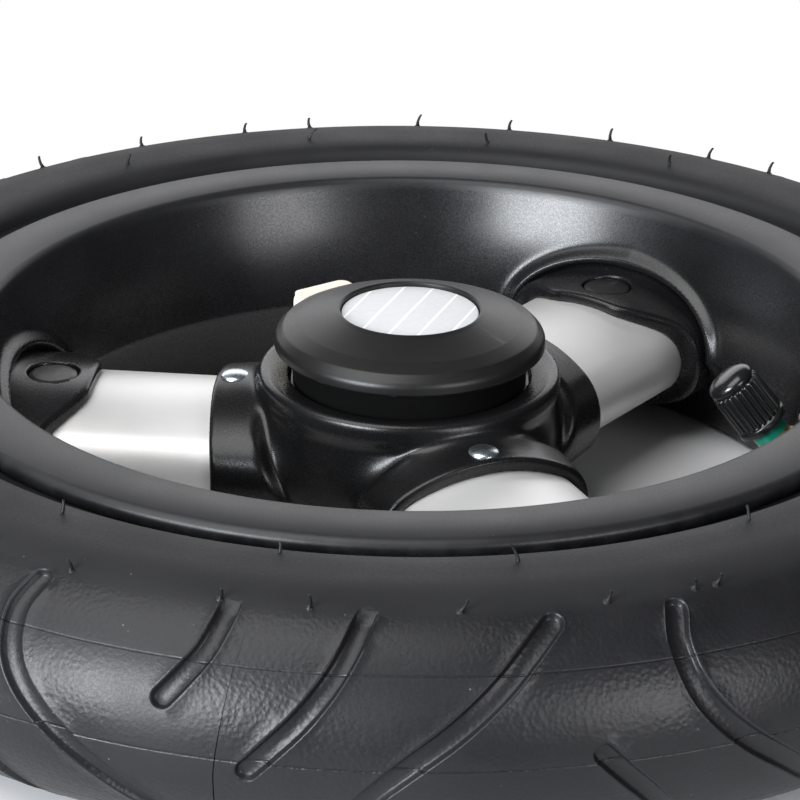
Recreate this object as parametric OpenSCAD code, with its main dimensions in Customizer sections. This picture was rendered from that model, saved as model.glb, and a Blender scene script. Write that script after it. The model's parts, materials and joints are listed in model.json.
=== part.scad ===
// Pneumatic three-spoke pushchair wheel with a quick-release hub.
// Millimetres. +Z is the spin axis and points out of the cap face.
// The origin is the hub centre in the tyre's middle plane; the wheel lies flat.

/* [Rim] */
// Outer radius of the rim flange
rim_r = 108; // [96:1:132]
// Width of the rim over both flange faces
rim_w = 50; // [44:1:58]
// Radial width of the flat flange ring
flange_w = 15; // [13:0.5:17]
// Thickness of the flange ring
flange_t = 4; // [3:0.5:5]
// Depth of the bead seat below the flange edge
bead_depth = 6.5; // [5:0.5:7]
// How far the barrel narrows from the flange to its waist
barrel_drop = 7; // [5:0.5:9]
// Wall over the spoke in each rim socket
socket_wall = 2.5; // [2:0.5:4]
// Side wall of each rim socket
socket_side = 5; // [4:0.5:6]
// Length of each rim socket, from its lip to the spoke's end
socket_len = 16; // [13:0.5:20]

/* [Tyre and tube] */
// How far the tread stands out beyond the rim flange
tyre_h = 43; // [38:1:52]
// How far each sidewall bulges beyond the flange face
tyre_bulge = 1; // [0.5:0.5:3]
// Thickness of the tyre casing
tyre_wall = 3.2; // [2.5:0.1:4]
// Gap between the flange edge and the tyre
tyre_gap = 4.9; // [4:0.1:6]
// Thickness of the inner tube
tube_wall = 1.5; // [1:0.1:2]

/* [Spokes] */
// Number of spokes
spoke_n = 3; // [3:1:3]
// Direction of the first spoke, in degrees
spoke_az = 54; // [0:1:119]
// Half width of a spoke's oval section
spoke_a = 22; // [18:0.5:24]
// Half height of a spoke's oval section
spoke_b = 12; // [10:0.5:13]
// Radius of the rounded ends of the oval
spoke_end_r = 9; // [7:0.5:9.5]
// Wall of the spoke tube
spoke_wall = 1.8; // [1.2:0.1:2.5]
// How far the spokes lie below the tyre's middle plane
spoke_drop = 5; // [2:0.5:6]

/* [Hub] */
// Outer radius of the hub drum
drum_r = 32; // [30:0.5:36]
// Outer radius of the collar lip
collar_r = 33; // [31:0.5:38]
// Height of the collar lip above the middle plane
collar_z = 15; // [14:0.5:17]
// Side wall of each hub cuff
cuff_side = 2.7; // [2:0.1:3.5]
// Wall of each hub cuff over the spoke
cuff_wall = 3.4; // [2.5:0.1:4]
// Reach of a hub cuff from the axis, at its sides
cuff_reach = 40.5; // [38:0.5:46]
// How much further the cuff reaches at its top
cuff_arch = 3; // [1:0.5:4]
// Radius at which the rivets sit
rivet_u = 38.4; // [35:0.2:40]
// Radius of a rivet head
rivet_head_r = 3.3; // [2.5:0.1:4]
// Radius of a rivet shank
rivet_r = 1.95; // [1.5:0.05:2.4]

/* [Bearings and axle bore] */
// Radius of the axle bore
bore_r = 6; // [5:0.5:7]
// Outer radius of a bearing
bearing_r = 14; // [13:0.5:15]
// Width of a bearing
bearing_w = 8; // [7:0.5:9]
// Height of the inner side bearing's middle
bearing_low_z = -20; // [-21:0.5:-18]
// Height of the cap side bearing's middle
bearing_high_z = 8; // [6:0.5:8]
// Radius of a bearing ball
ball_r = 2.38; // [2:0.02:2.6]
// Number of balls in each bearing
ball_n = 8; // [7:1:9]

/* [Cap and release] */
// Radius of the cap
cap_r = 29.5; // [27.5:0.5:32]
// Height of the cap's lower edge
cap_low_z = 20.1; // [19.5:0.1:21]
// Height of the cap's rounded shoulder above its lower edge
cap_side_h = 4.8; // [4.4:0.1:6]
// Height of the cap's top lip above its lower edge
cap_h = 8.8; // [8:0.1:11]
// Radius of the reflector lens
lens_r = 14.9; // [12:0.1:17]
// Direction of the cap's flat side, in degrees
latch_az = 125.5; // [0:0.5:359]
// Distance of the flat side from the axis
flat_x = 26.8; // [25:0.1:28]
// Travel of the release button
latch_travel = 4; // [3:0.5:4.5]
// How far the release button stands out of the flat
button_out = 4.6; // [4.2:0.1:5]
// Width of the release button
button_w = 14; // [10:0.5:16]
// Sideways offset of the release button
button_shift = 3; // [0:0.5:4]

/* [Valve] */
// Direction of the valve, in degrees
valve_az = -3.7; // [-20:0.1:10]
// Radius of the valve stem
valve_r = 4; // [3.5:0.1:4.5]
// Slope of the bent stem above the plane of the wheel, in degrees
valve_tilt = 51.3; // [35:0.1:60]
// Length of the valve cap
valve_cap_l = 14.6; // [12:0.2:18]
// Radius of the valve cap at its foot
valve_cap_r = 6; // [5.5:0.1:7]

/* [Hidden] */
$fn = 96;
eps = 0.01;
fit = 0.05;                             // running or sliding clearance on a radius
play = 0.3;                             // free clearance between moving pieces

// Rim and tyre
face_z = rim_w / 2;
flange_in_r = rim_r - flange_w;
barrel_r = flange_in_r - barrel_drop;
bead_r = rim_r - bead_depth;
well_r = barrel_r + 8;
well_z = 9;
bead_z = 13;
edge_r = 1.4;
tape_t = 0.6;
tyre_a = face_z + tyre_bulge;
tyre_r = rim_r + tyre_h;
tyre_c = tyre_r - tyre_a;
cavity_a = tyre_a - tyre_wall;
tube_a = cavity_a - 0.2;
tube_in_r = well_r + tape_t + 0.2;

// Spokes, sockets and cuffs
spoke_z = -spoke_drop;
spoke_step = 360 / spoke_n;
spoke_out = barrel_r - 0.2;
spoke_in = drum_r - 10;
socket_lip = barrel_r - socket_len;
socket_end = barrel_r;
socket_b = spoke_b + socket_wall;
socket_top = spoke_z + socket_b;
pin_u = socket_lip + 9.2;
pin_head_r = 5.4;
pin_r = 2.9;
pin_head_t = 1.6;
cuff_b = spoke_b + cuff_wall;
cuff_top = spoke_z + cuff_b;
cuff_bottom = spoke_z - cuff_b;
rivet_dome = 1.5;
spot = 0.4;

// Hub stack
hub_low_z = bearing_low_z - bearing_w / 2 - 2;
floor_z = bearing_high_z + bearing_w / 2 + 0.5;
shoulder_r = bearing_r - 2.5;
pitch_r = (bore_r + bearing_r) / 2;
groove_r = ball_r + fit;
race_gap = 1.7;
cage_half_t = 1;
cage_half_w = 2.6;
seal_t = 0.6;
ring_t = 1;

// Release
housing_r = 23.4;
housing_wall = 2.5;
housing_floor = 2;
chamber_r = housing_r - housing_wall;
plate_z = floor_z + housing_floor + 0.2;
plate_t = 2.5;
plate_half_w = 9.5;
plate_back = -13;
plate_front = flat_x - 1.8;
button_back = plate_front - 1;
button_low_z = max(collar_z + 0.6, plate_z + 0.6);
button_top_z = cap_low_z + 4.3;
key_r = bore_r + 0.6;
slot_r = bore_r - 1.1;
neck_r = housing_r + 2.1;
window_low = -max(plate_half_w, button_w / 2 - button_shift) - 0.4;
window_high = max(plate_half_w, button_w / 2 + button_shift) + 0.4;
lip_z = cap_low_z + cap_h;
lens_z = lip_z - 2;
lens_t = 1.1;
spring_wire = 0.35;
spring_r = 2.4;
screw_r = 18;

// Valve
valve_corner_r = barrel_r - 4.7;
valve_neck = 3.4;                       // from the corner of the bend to the coloured band
valve_cap_foot = valve_neck + 2.5;
valve_tip = valve_cap_foot + valve_cap_l - 3.8;
thread_r = valve_r - 0.15;
core_r = 2.5;
core_l = 12;

// ---------- shared shapes ----------

// Oval of two flat arcs and two round ends, half sizes a and b. Angles run clockwise from the top
function oval_points(a, b, end_r) = let(
    steps = 12,
    c = a - end_r,
    big = (c * c + b * b - end_r * end_r) / (2 * (b - end_r)),
    turn = atan2(c, big - b),
    arcs = [[0, b - big, big, -turn, turn], [c, 0, end_r, turn, 180 - turn],
            [0, big - b, big, 180 - turn, 180 + turn], [-c, 0, end_r, 180 + turn, 360 - turn]])
    [for (arc = arcs) for (i = [0 : steps - 1]) let(t = arc[3] + (arc[4] - arc[3]) * i / steps)
        [arc[0] + arc[2] * sin(t), arc[1] + arc[2] * cos(t)]];

// The oval pushed out by an even wall at its sides and another over its flats
module oval_bar(side, top, from, to) {
    translate([from, 0, spoke_z]) rotate([90, 0, 90])
        linear_extrude(to - from)
            polygon(oval_points(spoke_a + side, spoke_b + top, spoke_end_r + min(side, top)));
}

module each_spoke() {
    for (i = [0 : spoke_n - 1]) rotate([0, 0, spoke_az + i * spoke_step]) children();
}

module ring(r_out, r_in, z0, z1) {
    translate([0, 0, z0]) difference() {
        cylinder(r = r_out, h = z1 - z0);
        translate([0, 0, -1]) cylinder(r = r_in, h = z1 - z0 + 2);
    }
}

// Local +Z becomes the axis of the slanted valve stem, from the corner of the bend
module on_valve() {
    rotate([0, 0, valve_az]) translate([valve_corner_r, 0, 0])
        rotate([0, valve_tilt - 90, 0]) children();
}

// Round bar along the radial leg of the valve, from the corner of the bend outwards
module valve_leg(r, outer) {
    rotate([0, 0, valve_az]) translate([valve_corner_r, 0, 0]) rotate([0, 90, 0])
        cylinder(r = r, h = outer - valve_corner_r);
}

// Open coil of round wire along +X, swept with a ring of points at each step
module coil(coil_r, wire_r, length, turns) {
    steps = 14 * turns;
    sides = 8;
    function spot_at(i) = let(a = 360 * turns * i / steps)
        [wire_r + (length - 2 * wire_r) * i / steps, coil_r * cos(a), coil_r * sin(a)];
    function ring_at(i) = let(a = 360 * turns * i / steps, p = spot_at(i))
        [for (j = [0 : sides - 1]) let(b = 360 * j / sides)
            [p[0] + wire_r * sin(b), p[1] + wire_r * cos(b) * cos(a), p[2] + wire_r * cos(b) * sin(a)]];
    points = [for (i = [0 : steps]) each ring_at(i)];
    skin = [for (i = [0 : steps - 1]) for (j = [0 : sides - 1])
        [i * sides + j, i * sides + (j + 1) % sides,
         (i + 1) * sides + (j + 1) % sides, (i + 1) * sides + j]];
    first = [for (j = [sides - 1 : -1 : 0]) j];
    last = [for (j = [0 : sides - 1]) steps * sides + j];
    polyhedron(points = points, faces = concat(skin, [first, last]), convexity = 6);
}

// ---------- tyre and rim ----------

// One side of the tyre's foot, from the bead's heel to the bulge; side is 1 or -1
function foot(side) = [
    [bead_r + 0.1, side * (face_z - flange_t - 0.1)],
    [rim_r + 1, side * (face_z - flange_t - 0.1)],
    [rim_r + tyre_gap, side * face_z],
    [rim_r + tyre_gap + 1.5, side * (face_z + 0.6 * tyre_bulge)],
    [tyre_c - 3, side * (face_z + 0.6 * tyre_bulge)]];

module tyre() {
    upper = foot(1);
    lower = foot(-1);
    color("#1b1b1c") difference() {
        union() {
            rotate_extrude() translate([tyre_c, 0]) circle(r = tyre_a);
            rotate_extrude() polygon(concat(upper, [for (i = [4 : -1 : 0]) lower[i]]));
        }
        rotate_extrude() translate([tyre_c, 0]) circle(r = cavity_a);
        ring(tyre_c, bead_r - 20, -bead_z - 0.2, bead_z + 0.2);
    }
}

// Outline of the tube: a ring under the tread and a foot that follows the rim's well
module tube_section(inset) {
    foot_z = bead_z - 0.4 - inset;
    translate([tyre_c, 0]) circle(r = tube_a - inset);
    polygon([[tube_in_r + inset, 0.6 * (1 + inset) - well_z], [tube_in_r + inset, well_z - 0.6 * (1 + inset)],
             [bead_r + 0.3 * (1 + inset), foot_z], [tyre_c, foot_z],
             [tyre_c, -foot_z], [bead_r + 0.3 * (1 + inset), -foot_z]]);
}

module inner_tube() {
    color("#2a2a2c") difference() {
        rotate_extrude() difference() {
            tube_section(0);
            tube_section(tube_wall);
        }
        valve_leg(valve_r + fit, tyre_c - 15);
    }
}

module rim_tape() {
    color("#c9c2ae") difference() {
        ring(well_r + tape_t, well_r + 0.05, 0.5 - well_z, well_z - 0.5);
        valve_leg(valve_r + play, tyre_c - 15);
    }
}

module rim_section() {
    waist_z = spoke_z + 1;
    bow = 1;                            // how far the bowl bellies out of its chord
    bowl = [for (t = [1 : 7]) let(s = t / 8)
        [flange_in_r + (barrel_r - flange_in_r) * s + bow * sin(180 * s),
         face_z - edge_r + (waist_z - face_z + edge_r) * s]];
    back = [for (t = [1 : 3]) let(s = t / 4)
        [barrel_r + (flange_in_r - barrel_r) * s + bow * sin(180 * s),
         waist_z - (face_z - edge_r + waist_z) * s]];
    polygon(concat(
        [[flange_in_r + edge_r, face_z], [rim_r - edge_r, face_z], [rim_r, face_z - edge_r],
         [rim_r, face_z - flange_t], [bead_r, face_z - flange_t], [bead_r, bead_z],
         [well_r, well_z], [well_r, -well_z], [bead_r, -bead_z], [bead_r, flange_t - face_z],
         [rim_r, flange_t - face_z], [rim_r, edge_r - face_z], [rim_r - edge_r, -face_z],
         [flange_in_r + edge_r, -face_z], [flange_in_r, edge_r - face_z]],
        [for (i = [2 : -1 : 0]) back[i]],
        [[barrel_r, waist_z]],
        [for (i = [6 : -1 : 0]) bowl[i]],
        [[flange_in_r, face_z - edge_r]]));
}

// Block that the spoke plugs into: its top reaches in as a tongue and its sides are raked back
module socket_block() {
    rake = 8;
    intersection() {
        difference() {
            oval_bar(socket_side, socket_wall, socket_lip, rim_r);
            translate([0, spoke_a * 2, 0]) rotate([90, 0, 0]) linear_extrude(spoke_a * 4)
                polygon([[socket_lip - 5, spoke_z + spoke_b - 0.8],
                         [socket_lip, spoke_z + spoke_b - 0.8], [socket_lip + rake, spoke_z],
                         [socket_lip + rake, -rim_w], [socket_lip - 5, -rim_w]]);
        }
        translate([0, 0, -rim_w]) cylinder(r = well_r - 2, h = 2 * rim_w);
    }
}

module rim() {
    color("#202022") difference() {
        union() {
            rotate_extrude() rim_section();
            each_spoke() socket_block();
        }
        each_spoke() {
            oval_bar(fit, fit, spoke_in, socket_end);
            translate([pin_u, 0, socket_top - pin_head_t - 0.2])
                cylinder(r = pin_head_r + 0.2, h = 10);
            translate([pin_u, 0, spoke_z - socket_b - 1]) cylinder(r = pin_r + fit, h = 2 * socket_b + 2);
        }
        valve_leg(valve_r + play, tyre_c - 15);
    }
}

// ---------- spokes and their fasteners ----------

module spoke(i) {
    color("#d9dadc") rotate([0, 0, spoke_az + i * spoke_step]) difference() {
        oval_bar(0, 0, spoke_in, spoke_out);
        oval_bar(-spoke_wall, -spoke_wall, spoke_in - 1, spoke_out + 1);
        translate([rivet_u, 0, spoke_z - spoke_b - 1]) cylinder(r = rivet_r + fit, h = 2 * spoke_b + 2);
        translate([pin_u, 0, spoke_z - spoke_b - 1]) cylinder(r = pin_r + fit, h = 2 * spoke_b + 2);
    }
}

module rim_pins() {
    color("#161617") each_spoke() translate([pin_u, 0, 0]) {
        translate([0, 0, socket_top - pin_head_t - 0.1]) cylinder(r = pin_head_r, h = pin_head_t);
        translate([0, 0, spoke_z - socket_b + 0.2]) cylinder(r = pin_r, h = 2 * socket_b - pin_head_t - 0.2);
    }
}

module rivet_head() {
    dome_r = (rivet_head_r * rivet_head_r + rivet_dome * rivet_dome) / (2 * rivet_dome);
    intersection() {
        translate([0, 0, rivet_dome - dome_r]) sphere(r = dome_r);
        cylinder(r = rivet_head_r + 1, h = rivet_dome + 1);
    }
}

module hub_rivets() {
    color("#cfd6da") each_spoke() translate([rivet_u, 0, 0]) {
        translate([0, 0, cuff_top - spot]) rivet_head();
        translate([0, 0, cuff_bottom + spot]) mirror([0, 0, 1]) rivet_head();
        translate([0, 0, cuff_bottom + spot - eps])
            cylinder(r = rivet_r, h = 2 * (cuff_b - spot) + 2 * eps);
    }
}

// ---------- hub ----------

module hub_body_section() {
    lip_r = 1.6;
    square_w = collar_r - lip_r;
    polygon([[0, hub_low_z], [drum_r - 1, hub_low_z], [drum_r, hub_low_z + 1],
             [drum_r, collar_z - 3.4], [collar_r, collar_z - 2.6], [collar_r, collar_z - lip_r],
             [square_w, collar_z - lip_r], [square_w, collar_z], [collar_r - 4, collar_z],
             [collar_r - 5, floor_z], [0, floor_z]]);
    translate([square_w, collar_z - lip_r]) circle(r = lip_r);
}

module hub_shell() {
    tall = cuff_b + 1;
    mouth = [for (k = [-8 : 8]) [cuff_reach + cuff_arch * k * k / 64, tall * k / 8]];
    color("#232325") difference() {
        union() {
            rotate_extrude() hub_body_section();
            each_spoke() difference() {
                oval_bar(cuff_side, cuff_wall, 10, cuff_reach + cuff_arch + 2);
                translate([0, spoke_a * 2, spoke_z]) rotate([90, 0, 0])
                    linear_extrude(spoke_a * 4) polygon(concat(mouth, [[rim_r, tall], [rim_r, -tall]]));
            }
        }
        each_spoke() {
            oval_bar(fit, fit, spoke_in - 0.2, rim_r);
            translate([rivet_u, 0, cuff_bottom - 1]) cylinder(r = rivet_r + fit, h = 2 * cuff_b + 2);
            translate([rivet_u, 0, cuff_top - spot]) cylinder(r = rivet_head_r + 0.3, h = 3);
            translate([rivet_u, 0, cuff_bottom + spot - 3]) cylinder(r = rivet_head_r + 0.3, h = 3);
            // Coring pocket between two cuffs, open at the back
            rotate([0, 0, spoke_step / 2]) translate([drum_r - 8.6, 0, hub_low_z - 1])
                cylinder(r = 5.6, h = 19);
        }
        translate([0, 0, hub_low_z - 1]) cylinder(r = shoulder_r, h = rim_w);
        translate([0, 0, hub_low_z - 1])
            cylinder(r = bearing_r, h = bearing_low_z + bearing_w / 2 - hub_low_z + 1);
        translate([0, 0, bearing_high_z - bearing_w / 2]) cylinder(r = bearing_r, h = rim_w);
        ring(bearing_r + 0.7, bearing_r - 1, ring_z() - 0.05, ring_z() + ring_t + 0.05);
        each_screw() translate([0, 0, floor_z - 10]) cylinder(r = 1.45, h = 11);
    }
}

function ring_z() = bearing_low_z - bearing_w / 2 - ring_t - 0.05;

module each_bearing() {
    for (z = [bearing_low_z, bearing_high_z]) translate([0, 0, z]) children();
}

module race(r_out, r_in) {
    rotate_extrude() difference() {
        translate([r_in, -bearing_w / 2]) square([r_out - r_in, bearing_w]);
        translate([pitch_r, 0]) circle(r = groove_r);
    }
}

module bearing_inner_races() {
    color("#b9bdc2") each_bearing() race(pitch_r - race_gap, bore_r);
}

module bearing_outer_races() {
    color("#b9bdc2") each_bearing() race(bearing_r, pitch_r + race_gap);
}

module axle_spacer() {
    color("#a9adb2") ring(pitch_r - race_gap - 0.3, bore_r, bearing_low_z + bearing_w / 2,
                          bearing_high_z - bearing_w / 2);
}

module each_ball() {
    for (i = [0 : ball_n - 1]) rotate([0, 0, i * 360 / ball_n]) translate([pitch_r, 0, 0]) children();
}

module bearing_balls() {
    color("#dfe3e6") each_bearing() each_ball() sphere(r = ball_r);
}

module bearing_cages() {
    color("#8a6f3c") each_bearing() difference() {
        ring(pitch_r + cage_half_t, pitch_r - cage_half_t, -cage_half_w, cage_half_w);
        each_ball() rotate([0, 90, 0]) cylinder(r = ball_r + 0.08, h = 6, center = true);
    }
}

module bearing_seals() {
    color("#1a1a1a") each_bearing() for (s = [0, 1]) mirror([0, 0, s])
        ring(pitch_r + race_gap, pitch_r - race_gap + 0.15,
             bearing_w / 2 - seal_t - 0.2, bearing_w / 2 - 0.2);
}

module retaining_ring() {
    color("#7d8084") difference() {
        union() {
            ring(bearing_r + 0.6, bearing_r - 1.2, ring_z(), ring_z() + ring_t);
            for (s = [-1, 1]) rotate([0, 0, s * 17]) translate([bearing_r - 1.6, 0, ring_z()])
                cylinder(r = 1.8, h = ring_t);
        }
        translate([0, -2, ring_z() - 1]) cube([bearing_r + 5, 4, ring_t + 2]);
        for (s = [-1, 1]) rotate([0, 0, s * 17]) translate([bearing_r - 2, 0, ring_z() - 1])
            cylinder(r = 0.7, h = ring_t + 2);
    }
}

// ---------- release and cap ----------

module each_screw() {
    for (i = [0 : 2]) rotate([0, 0, latch_az + 90 + i * 90]) translate([screw_r, 0, 0]) children();
}

module latch_window(x0, z0, z1) {
    rotate([0, 0, latch_az]) translate([x0, window_low, z0])
        cube([rim_r - x0, window_high - window_low, z1 - z0]);
}

module latch_housing() {
    color("#2b2b2d") difference() {
        ring(housing_r, key_r + 0.4, floor_z, cap_low_z - 0.1);
        translate([0, 0, floor_z + housing_floor]) cylinder(r = chamber_r, h = rim_w);
        latch_window(10, floor_z + housing_floor, rim_w);
        each_screw() {
            translate([0, 0, floor_z - 1]) cylinder(r = 1.7, h = rim_w);
            translate([0, 0, floor_z + 0.4]) cylinder(r = 2.7, h = rim_w);
        }
    }
}

module housing_screws() {
    color("#9a9da1") each_screw() difference() {
        union() {
            translate([0, 0, floor_z + 0.45]) cylinder(r = 2.5, h = housing_floor - 0.5);
            translate([0, 0, floor_z - 9]) cylinder(r = 1.4, h = 9.5);
        }
        translate([0, 0, floor_z + housing_floor - 0.9]) cylinder(r = 1.2, h = 2, $fn = 6);
    }
}

module latch_slider() {
    color("#efe6d2") rotate([0, 0, latch_az]) difference() {
        union() {
            translate([plate_back, -plate_half_w, plate_z])
                cube([plate_front - plate_back, 2 * plate_half_w, plate_t]);
            button();
        }
        translate([0, 0, plate_z - 1]) cylinder(r = slot_r, h = plate_t + 2);
        translate([latch_travel, 0, plate_z - 1]) cylinder(r = key_r, h = plate_t + 2);
        translate([0, -slot_r, plate_z - 1]) cube([latch_travel, 2 * slot_r, plate_t + 2]);
    }
}

// Push face at the outer end of the slider, with rounded upright corners
module button() {
    corner = 2;
    x1 = flat_x + button_out;
    y0 = button_shift - button_w / 2;
    y1 = button_shift + button_w / 2;
    h = button_top_z - button_low_z;
    translate([0, 0, button_low_z]) {
        translate([button_back, y0, 0]) cube([x1 - corner - button_back, button_w, h]);
        translate([x1 - corner - 1, y0 + corner, 0]) cube([corner + 1, button_w - 2 * corner, h]);
        for (y = [y0 + corner, y1 - corner]) translate([x1 - corner, y, 0]) cylinder(r = corner, h = h);
    }
}

module latch_spring() {
    length = chamber_r + plate_back - 0.5;
    color("#b4b8bc") rotate([0, 0, latch_az]) translate([0.25 - chamber_r, 0, plate_z + spring_r + 0.4])
        coil(spring_r, spring_wire, length, 4);
}

module hub_cap() {
    shoulder = 2.2;
    top = cap_low_z + cap_side_h;
    color("#242426") difference() {
        union() {
            rotate_extrude() {
                polygon([[0, cap_low_z], [cap_r - 0.8, cap_low_z], [cap_r, cap_low_z + 0.8],
                         [cap_r, top - shoulder], [cap_r - shoulder, top - shoulder],
                         [cap_r - 1.7, top - 0.25], [lens_r + 1.2, lip_z - 0.2], [lens_r + 0.6, lip_z],
                         [lens_r + 0.2, lip_z - 0.3], [lens_r + 0.2, lens_z - 0.1], [0, lens_z - 0.1]]);
                translate([cap_r - shoulder, top - shoulder]) circle(r = shoulder);
            }
            ring(neck_r, housing_r + 0.1, floor_z + 0.1, cap_low_z + 0.5);
        }
        translate([0, 0, cap_low_z - 1]) cylinder(r = chamber_r, h = 4.2);
        rotate([0, 0, latch_az]) {
            translate([flat_x, -cap_r, cap_low_z - 1]) cube([cap_r, 2 * cap_r, cap_h + 2]);
            translate([button_back - latch_travel - play, button_shift - button_w / 2 - play, cap_low_z - 1])
                cube([cap_r, button_w + 2 * play, button_top_z - cap_low_z + 1 + play]);
        }
        latch_window(12, floor_z + housing_floor, cap_low_z + eps);
    }
}

module reflector() {
    color("#eef1f4") translate([0, 0, lens_z - 0.05]) cylinder(r = lens_r, h = lens_t);
}

// ---------- valve ----------

module valve_stem() {
    color("#b98a3e") difference() {
        union() {
            valve_leg(valve_r, tube_in_r + tube_wall + 2);
            rotate([0, 0, valve_az]) translate([valve_corner_r, 0, 0]) sphere(r = valve_r + 0.5);
            on_valve() cylinder(r = valve_r, h = valve_neck - 0.05);
            on_valve() cylinder(r = valve_r - 0.3, h = valve_cap_foot);
            on_valve() translate([0, 0, valve_neck + 2.2])
                cylinder(r = thread_r, h = valve_tip - valve_neck - 2.2);
            rotate([0, 0, valve_az]) translate([tube_in_r + tube_wall + 0.1, 0, 0])
                rotate([0, 90, 0]) cylinder(r = 8, h = 1.2);
        }
        valve_leg(1.3, tube_in_r + 20);
        on_valve() cylinder(r = 1.5, h = valve_tip);
        on_valve() translate([0, 0, valve_tip - core_l]) cylinder(r = core_r + fit, h = core_l + 1);
    }
}

module valve_band() {
    color("#1f9e7a") on_valve() ring(valve_r + 0.05, valve_r - 0.28, valve_neck, valve_neck + 2.1);
}

module valve_core() {
    color("#c9a24d") on_valve() difference() {
        translate([0, 0, valve_tip - core_l + 0.1]) cylinder(r = core_r, h = core_l - 1);
        translate([0, 0, valve_tip - core_l]) cylinder(r = 0.75 + fit, h = core_l + 1);
        translate([0, 0, valve_tip - 6]) cylinder(r = 1.75, h = 7);
    }
}

module valve_pin() {
    color("#d8c27a") on_valve() {
        translate([0, 0, valve_tip - core_l + 1.5]) cylinder(r = 0.75, h = core_l - 2.5);
        translate([0, 0, valve_tip - 1.8]) cylinder(r = 1.4, h = 0.8);
    }
}

module valve_spring() {
    color("#b4b8bc") on_valve() translate([0, 0, valve_tip - 5.9]) rotate([0, -90, 0])
        coil(1.25, 0.18, 4, 5);
}

module valve_cap() {
    top_r = valve_cap_r - 1;
    dome = 1.4;
    dome_r = (top_r * top_r + dome * dome) / (2 * dome);
    color("#111112") on_valve() translate([0, 0, valve_cap_foot]) difference() {
        union() {
            cylinder(r = valve_cap_r, h = 1.6);
            cylinder(r1 = valve_cap_r - 0.5, r2 = top_r, h = valve_cap_l - dome);
            translate([0, 0, valve_cap_l - dome]) intersection() {
                translate([0, 0, dome - dome_r]) sphere(r = dome_r);
                cylinder(r = top_r, h = dome + 1);
            }
        }
        translate([0, 0, -1]) cylinder(r = thread_r + 0.1, h = valve_tip - valve_cap_foot + 1.6);
    }
}

tyre();
inner_tube();
rim_tape();
rim();
spoke(0);  // spoke_1
spoke(1);  // spoke_2
spoke(2);  // spoke_3
rim_pins();
hub_rivets();
hub_shell();
bearing_inner_races();
axle_spacer();
bearing_outer_races();
bearing_balls();
bearing_cages();
bearing_seals();
retaining_ring();
latch_housing();
housing_screws();
latch_slider();
latch_spring();
hub_cap();
reflector();
valve_stem();
valve_band();
valve_core();
valve_pin();
valve_spring();
valve_cap();
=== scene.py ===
"""Looks of a pneumatic three-spoke pushchair wheel with a quick-release hub.

The CAD frame is in metres. The sizes below are in millimetres,
and each mesh is turned into metres as it is made.
"""

import json
import logging
import math
from dataclasses import dataclass, field
from enum import Enum
from typing import Callable, Sequence

import bmesh
import bpy
import numpy as np
import openvdb
from mathutils import Matrix, Vector, geometry


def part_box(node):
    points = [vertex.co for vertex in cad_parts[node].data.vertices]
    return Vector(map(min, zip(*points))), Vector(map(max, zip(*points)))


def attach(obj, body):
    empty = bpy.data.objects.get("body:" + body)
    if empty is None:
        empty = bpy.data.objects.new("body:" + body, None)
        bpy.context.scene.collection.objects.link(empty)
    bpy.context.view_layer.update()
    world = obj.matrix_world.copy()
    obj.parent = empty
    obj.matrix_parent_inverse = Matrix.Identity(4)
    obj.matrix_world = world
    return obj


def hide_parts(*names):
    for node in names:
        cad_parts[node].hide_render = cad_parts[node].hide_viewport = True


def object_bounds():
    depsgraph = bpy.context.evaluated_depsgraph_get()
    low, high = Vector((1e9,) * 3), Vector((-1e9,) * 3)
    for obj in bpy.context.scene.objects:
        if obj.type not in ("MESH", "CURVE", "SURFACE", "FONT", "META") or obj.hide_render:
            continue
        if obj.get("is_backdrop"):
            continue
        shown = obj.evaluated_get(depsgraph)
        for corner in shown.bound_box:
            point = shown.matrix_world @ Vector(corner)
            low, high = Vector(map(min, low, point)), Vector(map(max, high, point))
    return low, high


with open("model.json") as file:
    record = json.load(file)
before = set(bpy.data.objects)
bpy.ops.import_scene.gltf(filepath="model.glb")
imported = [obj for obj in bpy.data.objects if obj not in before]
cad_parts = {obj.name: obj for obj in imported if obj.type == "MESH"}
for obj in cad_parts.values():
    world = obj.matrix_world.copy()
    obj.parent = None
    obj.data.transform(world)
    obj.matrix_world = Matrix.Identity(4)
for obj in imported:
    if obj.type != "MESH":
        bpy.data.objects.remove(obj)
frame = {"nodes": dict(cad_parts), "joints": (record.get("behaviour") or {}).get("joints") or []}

LOG = logging.getLogger("wheel")
MM = 0.001
SHARP = math.radians(55)
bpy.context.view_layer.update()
Array = np.ndarray
Field = Callable[[Array, Array, Array], Array]


class Body(Enum):
    """The rigid bodies that pieces ride on."""

    CORE = "axle_core"
    WHEEL = "wheel"
    RELEASE = "release"
    VALVE_CAP = "valve_cap"


# ---------------------------------------------------------------- finishes


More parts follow.
